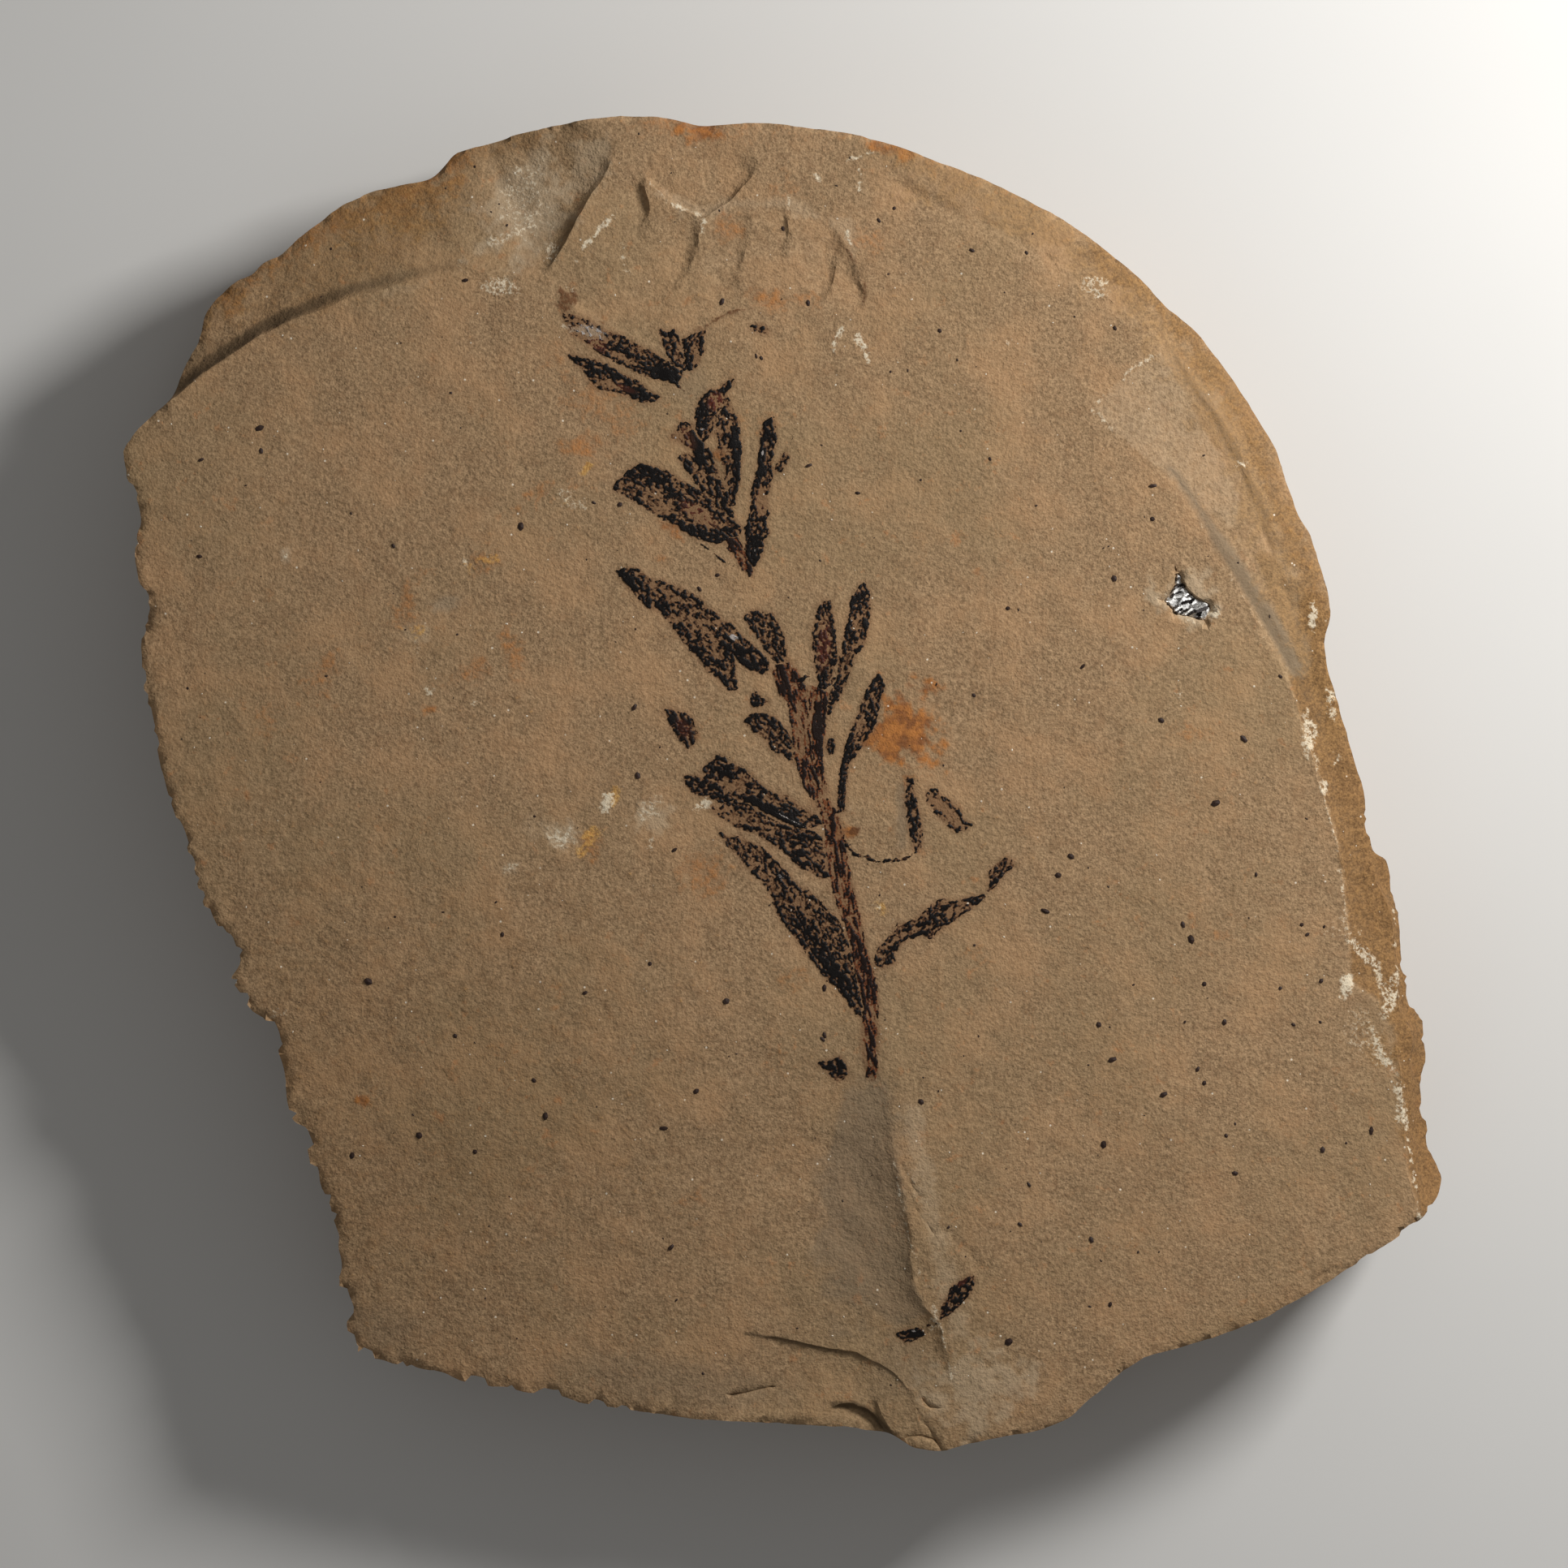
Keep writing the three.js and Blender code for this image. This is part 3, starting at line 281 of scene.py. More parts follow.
# The left side and the right side are notched, and the top and the foot are worn smooth.
outward = np.roll(rim, -1, axis=0) - np.roll(rim, 1, axis=0)
outward = np.column_stack([outward[:, 1], -outward[:, 0]]) / np.hypot(*outward.T)[:, None]
left_side = eased(-rim[:, 0] - 0.35 * rim[:, 1], 24, 34) * eased(-rim[:, 1], -30, -20)
right_side = eased(rim[:, 0], 42, 46) * eased(-rim[:, 1], -20, -5)
notched = np.maximum(left_side * (0.45 + 0.55 * eased(-rim[:, 1], 5, 15)), 0.4 * right_side)
notches = 0.16 * grain(rim, 2.2, 2, 1.5) - 0.5 * eased(grain(rim, 1.2, 2, 4.5), 0.1, 0.3)
rim = rim + outward * (notched * notches + 0.05 * grain(rim, 1.6, 3, 2.5) - 0.04)[:, None]
rim = np.clip(rim, cad_rim.min(axis=0), cad_rim.max(axis=0))
rim_line = closed(rim)


def face_height(spots):
    """The height of the stone's upper face at each spot, without the rim's rounding."""
    moved = spots + wander(spots)
    sag = np.maximum(0, -0.6 * moved[:, 0] - 0.8 * moved[:, 1] - SAG_START)
    drop = np.zeros(len(spots))
    for part in BREAKS:
        distance, side, values = beside(part["line"], moved)
        fall = values[:, 0] * (1 - np.exp(-distance / part["reach"]))
        if "heal" in part:
            fall *= np.exp(-distance / part["heal"])
        else:
            fall = np.maximum(0, fall + values[:, 1] * distance)
        drop += np.where(side == part["side"], fall, 0)
    beds = BED_STEP * np.sin(drop * 2 * math.pi / BED)
    drop = drop + eased(drop, 0.25, 1.2) * (beds + 0.09 * grain(spots, 2.6, 3, 2.2))
    for width, depth, line in CRACKS:
        distance = beside(line, moved)[0]
        drop += depth * (0.7 + 0.5 * grain(spots, 1.5, 2, 8.8)) * np.exp(-((distance / width) ** 2))
    swell = 0.05 * grain(spots, 11, 2, 6.1) + 0.035 * grain(spots, 4.2, 2, 6.3)
    swell += 0.03 * grain(spots, 1.7, 3, 6.6)
    distance = beside(pit_line, spots)[0]
    within = inside(pit_loop, spots)
    lip = np.where(within, 0, 0.1 * np.exp(-((distance - 0.5) / 0.4) ** 2))
    hollow = np.where(within, PIT_DEPTH * eased(distance, -0.1, 0.3), 0)
    return BEDDING - SWELL_ROOM - SAG * sag * sag - drop + swell + lip - hollow


def edge_path(line, spacing, sideways=0.0):
    """Points along a break where it really runs, moved sideways towards its left."""
    line = np.asarray(line, float)[:, :2]
    along = walked(line)
    places = np.linspace(0, along[-1], max(2, round(along[-1] / spacing)))
    spots = np.column_stack([np.interp(places, along, line[:, k]) for k in (0, 1)])
    run = np.gradient(spots, axis=0)
    left = np.column_stack([-run[:, 1], run[:, 0]]) / np.hypot(*run.T)[:, None]
    spots = spots + left * sideways
    return spots - wander(spots - wander(spots))


def spaced(low, high, step, seed):
    """Scattered points on a triangular grid over a box."""
    random = np.random.default_rng(seed)
    rows = np.arange(low[1], high[1], step * 0.866)
    columns = np.arange(low[0], high[0], step)
    x, y = np.meshgrid(columns, rows)
    x = x + (np.arange(len(rows)) % 2)[:, None] * step / 2
    spots = np.column_stack([x.ravel(), y.ravel()])
    return spots + random.uniform(-0.22, 0.22, spots.shape) * step


def triangles(loop, lines, field):
    """Points and triangles inside a loop. They keep the given lines as edges."""
    points = [Vector(spot) for spot in loop]
    edges = [(i, (i + 1) % len(loop)) for i in range(len(loop))]
    for line in lines:
        first = len(points)
        points += [Vector(spot) for spot in line]
        edges += [(i, i + 1) for i in range(first, len(points) - 1)]
    points += [Vector(spot) for spot in field]
    spots, _, faces, *_ = geometry.delaunay_2d_cdt(points, edges, [], 0, 1e-4, False)
    spots = np.array([spot[:] for spot in spots])
    faces = np.array(faces)
    return spots, faces[inside(loop, spots[faces].mean(axis=1))].tolist()


def kept_clear(field, lines, gap):
    """The field's points that are further than the gap from all the lines' points."""
    cells = {}
    for spot in np.vstack(lines):
        key = (math.floor(spot[0]), math.floor(spot[1]))
        cells.setdefault(key, []).append(spot)
    kept = []
    for spot in field:
        column, row = math.floor(spot[0]), math.floor(spot[1])
        close = [other for dx in (-1, 0, 1) for dy in (-1, 0, 1)
                 for other in cells.get((column + dx, row + dy), ())]
        if not close or min(math.hypot(*(spot - other)) for other in close) > gap:
            kept.append(spot)
    return np.array(kept)


def outer_loop(faces):
    """The corners along the edge of a sheet of faces, in order."""
    edges = {(a, b) for face in faces for a, b in zip(face, face[1:] + face[:1])}
    following = {a: b for a, b in edges if (b, a) not in edges}
    start, corner = next(iter(following.items()))
    loop = [start]
    while corner != start:
        loop.append(corner)
        corner = following[corner]
    return loop


lines = []
for part in BREAKS:
    lines.append(edge_path(part["line"], LINE_STEP))
    lines.append(edge_path(part["line"], LINE_STEP, part["side"] * min(BREAK_FOOT, part["reach"])))
for width, _, line in CRACKS:
    lines += [edge_path(line, LINE_STEP, sideways) for sideways in (0, width, -width)]
pit_middle = pit_loop.mean(axis=0)
for share in PIT_RINGS:
    lines.append(pit_middle + (resampled(pit_loop, PIT_STEP) - pit_middle) * share)
kept = []
for line in lines:
    line = line[inside(rim, line)]
    gaps = np.flatnonzero(np.hypot(*np.diff(line, axis=0).T) > 1) + 1
    kept += [part for part in np.split(line, gaps) if len(part) > 1]
lines = kept
field = spaced(rim.min(axis=0), rim.max(axis=0), FACE_STEP, 11)
field = kept_clear(field[inside(rim, field)], [*lines, rim], FIELD_GAP)
top_spots, top_faces = triangles(rim, lines, field)

# The upper face, worn round along the rim and chipped here and there.
rim_distance = beside(rim_line[::2], top_spots)[0]
chipped = 0.3 * eased(grain(top_spots, 1.1, 2, 12.3), 0.2, 0.7) * np.maximum(0, 1 - rim_distance / 0.7)
rounding = RIM_DROP * np.maximum(0, 1 - rim_distance / RIM_ROUND) ** 2
top_heights = face_height(top_spots) - rounding - chipped
corners = [(x, y, z) for (x, y), z in zip(top_spots, top_heights)]
faces = list(top_faces)

# The broken side, row by row from the rim down.
above = outer_loop(top_faces)
rim_places = np.array([corners[i] for i in above])
even_places = smoothed(rim_places[:, :2], EVEN_PASSES)
for row in range(1, SIDE_ROWS + 1):
    share = 1 - row / SIDE_ROWS
    height = rim_places[:, 2] * share
    even = eased(row, 0, EVEN_ROWS)
    row_places = rim_places[:, :2] * (1 - even) + even_places * even
    radius = np.hypot(*row_places.T)
    inset = np.interp(share, *np.array(SIDE_PROFILE).T)
    wear = min(1.0, row / WORN_ROWS)
    beds = BED_DEPTH * noise.fractal((height.mean() / 0.9, 0.3, 0.7), 1.0, 2.0, 3)
    lumps = np.array([
        noise.fractal((x / 3.2, y / 3.2, z / 1.3), 1.0, 2.0, 4) for (x, y), z in
        zip(row_places, height)
    ])
    inset = np.maximum(0.02, inset + wear * (beds + LUMP_DEPTH * lumps))
    first = len(corners)
    corners += [
        (x * (1 - i / r), y * (1 - i / r), z)
        for (x, y), z, i, r in zip(row_places, height, inset, radius)
    ]
    below = list(range(first, len(corners)))
    for i in range(len(above)):
        j = (i + 1) % len(above)
        faces.append([above[i], below[i], below[j], above[j]])
    above = below

# The underside, split flat and a little wavy.
foot = np.array([corners[i][:2] for i in above])
under_field = spaced(foot.min(axis=0), foot.max(axis=0), UNDER_STEP, 12)
under_field = kept_clear(under_field[inside(foot, under_field)], [foot], UNDER_STEP * 0.5)
under_spots, under_faces = triangles(foot, [], under_field)
under_corner = []
for x, y in under_spots:
    gaps = np.hypot(*(foot - (x, y)).T)
    corner = above[gaps.argmin()]
    if gaps.min() > SAME_CORNER:
        corner = len(corners)
        wave = noise.fractal((x / UNDER_WAVE, y / UNDER_WAVE, 2.5), 1.0, 2.0, 3)
        corners.append((x, y, max(0.0, UNDER_LIFT * wave)))
    under_corner.append(corner)
faces += [[under_corner[i] for i in reversed(face)] for face in under_faces]


def mesh_of(name, corners, faces):
    """A mesh from its corners, in millimetres, and its faces."""
    mesh = bpy.data.meshes.new(name)
    mesh.from_pydata((np.asarray(corners) * MM).tolist(), [], faces)
    mesh.validate()
    return mesh


def placed(name, data):
    """A new object at the origin of the scene."""
    made = bpy.data.objects.new(name, data)
    bpy.context.scene.collection.objects.link(made)
    return made


stone_mesh = mesh_of("stone", corners, faces)
stone_mesh.shade_smooth()
stone_mesh.set_sharp_from_angle(angle=SHARP)
stone = placed("stone", stone_mesh)
print("stone:", len(corners), "corners", sum(len(face) - 2 for face in faces), "triangles")

# Stains, with some painted shade and painted light among them: [x, y, half length, half width, turn in
# degrees, strength].
STAINS = {
    "rust": [
        [9.3, 4.2, 2.6, 3.3, 0, 1.15], [4.61, -3.78, 1.38, 0.56, 10, 0.9],
        [-32.58, -24.47, 0.62, 0.5, 0, 1], [-14.95, -4.66, 1.12, 1, 30, 0.7],
        [33.8, -11.78, 0.69, 0.56, 0, 0.5], [-2.08, 37.22, 1.38, 0.75, -10, 0.6],
        [-5.2, 25.34, 0.5, 0.75, -20, 0.9], [-9.02, 19.72, 1.38, 0.5, -28, 0.8],
        [-42.83, 37.34, 1.2, 1.5, 30, 0.7], [-29.4, 45.1, 4.4, 2, 22, 0.68],
        [-6.52, 50.34, 2.38, 0.62, -8, 1], [7.73, 49.03, 1.88, 0.56, -18, 1],
        [-28.9, 14, 2.4, 1.3, 60, 0.5], [-20.9, 10.2, 1.2, 2, 20, 0.53], [-24.1, 8.4, 2.3, 0.9, 25, 0.52],
        [-35.6, 8.6, 2.2, 2, 0, 0.44], [-27.2, 5.6, 0.7, 0.5, 0, 0.75],
        [-39.77, 5.03, 1.5, 1.88, 0, 0.38], [-23.3, 16.9, 1.8, 1.2, 20, 0.54],
        [-19.1, 22.6, 1.3, 0.6, 10, 0.55], [-20.5, 20.9, 1, 0.6, 0, 0.5],
        [-9.45, 17.53, 0.62, 0.5, 0, 0.6], [-15.4, 26, 2.2, 1.4, 0, 0.56], [-14.2, 28.8, 3.4, 1.8, -20, 0.42],
        [-6.02, -7.1, 2.1, 1.9, 0, 0.52], [0.55, -14.66, 1.5, 1.25, 0, 0.4],
        [-0.39, -21.66, 1.62, 1, 0, 0.3], [-6.95, -32.16, 1.62, 0.75, 0, 0.4],
        [15.11, -13.09, 1.38, 0.88, 0, 0.3], [30.98, 3.78, 1.88, 1.25, 0, 0.35],
        [-17.27, 31.91, 1.88, 2.12, 0, 0.3], [-1.64, 27.84, 1.88, 1.25, 0, 0.3],
        [-4.14, 42.8, 1.2, 1.6, 0, 0.55], [-0.08, 46.09, 1.88, 1.38, 0, 0.3],
        [1.4, 37.5, 2.4, 1, 10, 0.48], [6.8, 41.5, 2, 1.3, 0, 0.42],
    ],
    "rind": [
        [-30, -24, 24, 21, 0, 0.34], [-33, 41.5, 14, 4.5, 30, 0.5],
    ],
    # Painted shade: darker brown along the steps, creases and cracks, where shade falls.
    "painted_shade": [
        [-44.6, 33.2, 2.6, 1.1, 40, 0.45], [-12.4, 46.4, 0.8, 2.4, -20, 0.2],
    ],
    # The oval at (15, -46.8), right of the foot, is painted light: it brightens the stone where the lamp's
    # light falls off.
    "bleach_and_painted_light": [
        [31, 14.1, 2.7, 2.1, -20, 1.2], [-20.2, 44.8, 4.4, 3.6, 30, 0.95], [-15.2, 47.6, 1.8, 2.6, -30, 0.8],
        [-10.3, -2.1, 1.8, 1.5, 0, 0.85], [-16.9, -4.3, 1.5, 1.4, 0, 0.85], [-19.4, -3.4, 1, 1.2, 0, 0.4],
        [-21, -6.4, 0.8, 0.6, 0, 0.6], [-26.3, 13.9, 1.3, 0.7, 0, 0.6], [-28.4, 11.6, 1.2, 0.8, 0, 0.6],
        [-38.4, 17.4, 0.5, 0.9, 0, 0.8], [-30, 38, 2.2, 0.5, 16, 0.5], [15, -46.8, 4.5, 3.2, 10, 0.8],
    ],
    "umber": [
        [5.48, -3.59, 0.42, 0.26, 10, 1.5], [-16.65, 37.35, 1.0, 0.85, -20, 0.95],
        [-14.7, 35.9, 1.6, 0.3, -24, 0.55],
    ],
    "yellow": [
        [-15.1, 24.45, 0.7, 0.4, 50, 2], [-14.8, -4, 0.7, 0.9, -30, 0.95], [-15.7, -5.1, 0.7, 0.6, 30, 0.95],
        [7.36, -9.47, 0.69, 0.5, -20, 1], [-16.64, 21.72, 0.88, 0.5, 20, 0.6],
        [-22.89, 17.22, 1.12, 0.5, 10, 0.75], [-24.2, 16.6, 0.8, 0.6, 0, 0.7],
        [-13, -1, 0.4, 1, -20, 1], [-28.7, 11.7, 0.9, 0.6, 0, 0.55],
    ],
    "ochre": [
        [-28.39, 10.34, 0.88, 1.38, 0, 0.3], [-30, 44.4, 5, 2.8, 22, 0.75], [-42.6, 37, 2, 1.8, 35, 0.6],
        [45.73, -19.97, 1.62, 2.88, 0, 0.7], [45.86, -13.41, 0.88, 3.75, -5, 0.5],
    ],
    "pale": [
        [24.11, 38.16, 1.5, 0.88, -35, 0.6], [35.3, 24.72, 0.44, 0.31, 0, 0.8],
        [40.36, 4.22, 0.7, 1.8, 0, 0.75], [41.61, -0.03, 0.34, 0.7, 0, 0.75],
        [40.86, 12.72, 0.31, 1.25, 0, 0.9], [41.92, 12.34, 0.25, 0.56, 0, 0.8],
        [42.17, 5.78, 0.5, 1.25, 0, 0.8], [42.73, 2.03, 0.5, 0.75, 0, 0.7],
        [43.42, -15.66, 0.62, 1, 0, 0.9], [45.73, -19.78, 1.38, 2.75, 0, 0.3],
        [46.8, -15.91, 0.31, 1.25, 0, 0.8], [-6.33, -1.66, 0.75, 0.38, 30, 0.9],
        [-38.39, 17.41, 0.25, 0.62, 0, 0.7], [2.48, 46.72, 0.31, 0.5, 20, 1],
        [-3.83, 29.91, 0.38, 0.5, 0, 0.9], [11.48, -41.34, 0.31, 1.38, 0, 0.5],
        [30.9, 13.2, 2, 0.9, -12, 0.5], [33.1, 12.9, 0.7, 0.9, 0, 0.7],
        [-22, 38.3, 2.4, 0.7, -22, 0.62],
        [29.4, 14.4, 0.7, 1.2, 0, 0.35],
        [17.36, 34.09, 0.5, 0.5, 0, 0.5], [30.36, 6.84, 0.62, 0.31, 0, 0.5],
        [-38.83, -17.66, 1, 0.5, 0, 0.5], [-20.1, 44.8, 2.6, 3.6, -25, 0.42],
        [-13.6, -1.7, 0.5, 0.8, -10, 0.85], [-10.2, -1.6, 1.3, 1, 20, 0.64], [-16.9, -4.4, 1.3, 1.2, 0, 0.64],
        [-21.1, -6.4, 0.6, 0.5, 0, 0.5], [-10.3, -4.6, 0.3, 0.6, 0, 0.6], [-16.5, 21.9, 1.3, 1.1, 0, 0.5],
        [-24.5, 16.9, 0.35, 0.5, 0, 0.7], [-28.3, 10.2, 0.5, 0.8, 0, 0.55], [-27.3, 7.2, 0.5, 0.4, 0, 0.7],
        [-23.8, 6.3, 0.4, 0.35, 0, 0.55], [-15.3, 34.95, 1.6, 0.6, -15, 0.95],
        [7.1, -9.4, 0.55, 0.3, -15, 0.85],
        [42.9, -11.2, 1.4, 1.2, 20, 0.35], [44.6, -19, 1.6, 2.6, 0, 0.42], [-17.9, 41, 0.6, 1.2, -30, 0.6],
    ],
    # Partly the stone's grey tint, partly painted shade on the slope west of the ridge.
    "grey_and_painted_shade": [
        [6.61, -27.16, 2.25, 4.38, 0, 0.8], [5, -35, 2.6, 7, 4, 0.8], [9.3, -45, 2.4, 2.6, 0, 0.4],
        [9.11, -2.47, 0.5, 2.88, 0, 0.8], [-7.27, 30.97, 1.12, 2.62, 10, 0.4],
        [-8.52, -45.91, 9.38, 2.12, -6, 0.45], [-31.02, -42.16, 3.75, 1.88, 0, 0.4],
        [-26.33, 13.97, 1.62, 0.75, 0, 0.5], [-20.39, 44.72, 3.75, 3.75, 0, 0.35],
        [-18.6, 42.6, 1.2, 3.4, -30, 0.6],
    ],
}

# Stains that follow a line, painted shade among them: [half width, strength, the line]. Where its
# points have a third value, that is the share of the strength there.
STAIN_LINES = {
    # Painted shade along the strip of the upper right facet.
    "grey_and_painted_shade": [
        [0.5, 0.5, [[29.8, 33], [31.2, 31.2], [34.3, 26.3], [37.2, 20.8], [39.3, 14.8], [40.6, 9.5],
                    [41.4, 5]]],
    ],
    # Painted shade: darker brown lines along the steps and cracks.
    "painted_shade": [
        [0.62, 1.05, [[-47.1, 30.3, 1], [-44, 32.8, 1], [-40, 35.35, 1], [-37.1, 36.65, 0.85],
                     [-33.6, 38.1, 0.7], [-29.1, 39.2, 0.5], [-25.5, 40, 0.4], [-22.6, 39.9, 0.25],
                     [-19.5, 39.5, 0.1]]],
        [0.3, 0.3, [[9, 46], [18, 41.8], [27.4, 35.9], [33.3, 28.2], [36.8, 20.5], [39.3, 13.5]]],
        [0.17, 0.7, [[-3, -42.4, 1], [-0.3, -42.75, 1], [3.4, -43.65, 1], [5.5, -43.95, 0.9],
                     [7.4, -44.7, 0.7], [8.4, -45.4, 0.5], [9.5, -46.9, 0.3]]],
        [0.3, 0.6, [[-15.8, 43.9], [-17, 41.8], [-18.2, 39.7]]],
        [0.35, 0.95, [[3.8, -47.9], [5.4, -47.9], [6.4, -48.3], [7.1, -48.9], [7.9, -49.8], [8.4, -50.4]]],
    ],
    "umber": [
        [0.2, 0.8, [[4.7, 41.4], [5.6, 39.9], [6.3, 38.4], [6.1, 36.9]]],
        [0.2, 0.95, [[-6.8, 34.9, 0.9], [-6.1, 35.2, 0.9], [-4.4, 36.2, 1], [-3.06, 36.55, 0.9],
                     [-0.4, 37.05, 0.3]]],
        [0.22, 0.35, [[-17.3, 38.3], [-15.9, 36.5], [-13.8, 35.3], [-11, 34.2]]],
    ],
    "rust": [
        [1.3, 0.85, [[-44, 37, 0.5], [-38, 41.6, 0.6], [-33, 43.8, 0.8], [-29.1, 45.7, 1],
                     [-25.4, 48.5, 0.8], [-22.5, 49.5, 0.2], [-13, 51.2, 0.1], [-9.5, 51, 0.6],
                     [-6.5, 50.6, 1], [-4, 50.6, 0.5], [0, 50.4, 0.2], [6, 49.6, 0.3], [9.5, 49.1, 0.7],
                     [14.6, 46.9, 0.3]]],
        [0.9, 0.25, [[14.6, 46.9], [20.9, 43.8], [27.1, 38.8], [32.1, 32.8], [36.2, 26.6],
                     [39, 20.3], [40.9, 14.1]]],
        [1.0, 0.3, [[46.3, -6], [48, -14], [49, -22], [50, -30]]],
    ],
    "ochre": [
        [2.6, 0.6, [[9, 48.4], [14.6, 46], [20.9, 42.6], [27.1, 37.4], [32.1, 31.2], [35.8, 24.6],
                    [38.6, 17], [40.9, 10], [42.6, 4]]],
    ],
    "rind": [
        [1.6, 0.75, [[24, 41], [30, 36.5], [35.8, 28.5], [39, 20.5], [41, 14]]],
        [1.5, 1.25, [[41, 14], [42, 8], [43.4, 1], [45.3, -6], [46.9, -12], [48.2, -20], [49.2, -28],
                     [50, -33]]],
        [1.6, 0.6, [[-47.5, 33], [-44, 37.5], [-38, 42], [-31, 45], [-26, 48.2], [-20, 50]]],
    ],
    "bleach_and_painted_light": [
        [1.2, 0.35, [[-15.5, 44.5], [-19.5, 42], [-22.5, 44.5]]],
        [1.1, 0.6, [[9.8, -25.5], [10.4, -29], [11.2, -33], [12.4, -37], [13.4, -42]]],
        [0.7, 0.6, [[-9.9, 45.6], [-6.3, 43.8], [-4.1, 44.7], [0.2, 44.7], [2.3, 43.8], [4.7, 42.8],
                    [5.6, 41]]],
        [1.2, 0.3, [[-6, 40], [0, 41.4], [6, 42]]],
    ],
    "pale": [
        [0.16, 0.8, [[47.11, -9.66], [47.36, -16.53]]],
        [0.18, 0.8, [[47.73, -25.03], [48.48, -29.66], [48.98, -33.41]]],
        [0.16, 0.6, [[8.45, -29.1], [9.7, -35.4], [12, -41.3], [12.9, -45.9]]],
        [0.12, 0.45, [[9, -29.2], [11.15, -32.4]]],
        [0.6, 0.52, [[-20.6, 47.6], [-19.4, 46.3], [-19.1, 44], [-20.4, 42.5], [-22.3, 42]]],
        [0.18, 0.85, [[-13.2, 43.9], [-14.2, 42.55], [-15.4, 41.4], [-16.4, 40.05]]],
        [0.18, 0.7, [[-12.4, 41.7], [-12.4, 40.05], [-11.9, 39.05]]],
        [0.18, 0.8, [[-16.9, 38.4], [-16.1, 38.05]]],
        [0.18, 0.75, [[-10.4, 46.4], [-8.7, 44.7], [-7.1, 44.05], [-6.2, 43.55]]],
        [0.18, 0.85, [[-6.25, 43.3], [-6.35, 41.9]]],
        [0.18, 0.6, [[0.28, 45.4], [0.4, 44]]],
        [0.22, 1, [[4.4, 35.05], [3.8, 33.4]]],
        [0.22, 0.95, [[5.6, 34.55], [6.3, 33.2], [6.45, 32.4]]],
        [0.18, 0.8, [[4.8, 42.55], [5.1, 41.55]]],
        [0.2, 0.9, [[4.8, 48.05], [5.95, 48.4], [6.8, 48.7]]],
        [0.12, 0.7, [[5.8, 47.4], [5.9, 45.4]]],
        [0.22, 0.55, [[25.8, 26.7], [23.6, 28.9], [26.9, 32], [29.1, 33.3]]],
        [0.3, 0.25, [[31.9, 20.3], [36.5, 12.2], [39.4, 6.1]]],
        [0.4, 0.7, [[43.5, -12], [45.4, -13.8], [46.6, -17], [45.2, -19.4], [47.2, -22.6], [47.6, -26]]],
        [0.2, 0.5, [[40.3, 6], [41.4, -0.6], [42.3, -3.5], [42.9, -7], [43.5, -11.8]]],
        [0.2, 0.25, [[-18.6, 39.3], [-24.4, 39.9], [-33.3, 37.5]]],
    ],
}

# How ragged the edges of these stains and painted shades are, as a share of the others'.
EVEN_STAINS = {"painted_shade": 0.3, "grey_and_painted_shade": 0.6, "rind": 0.6}

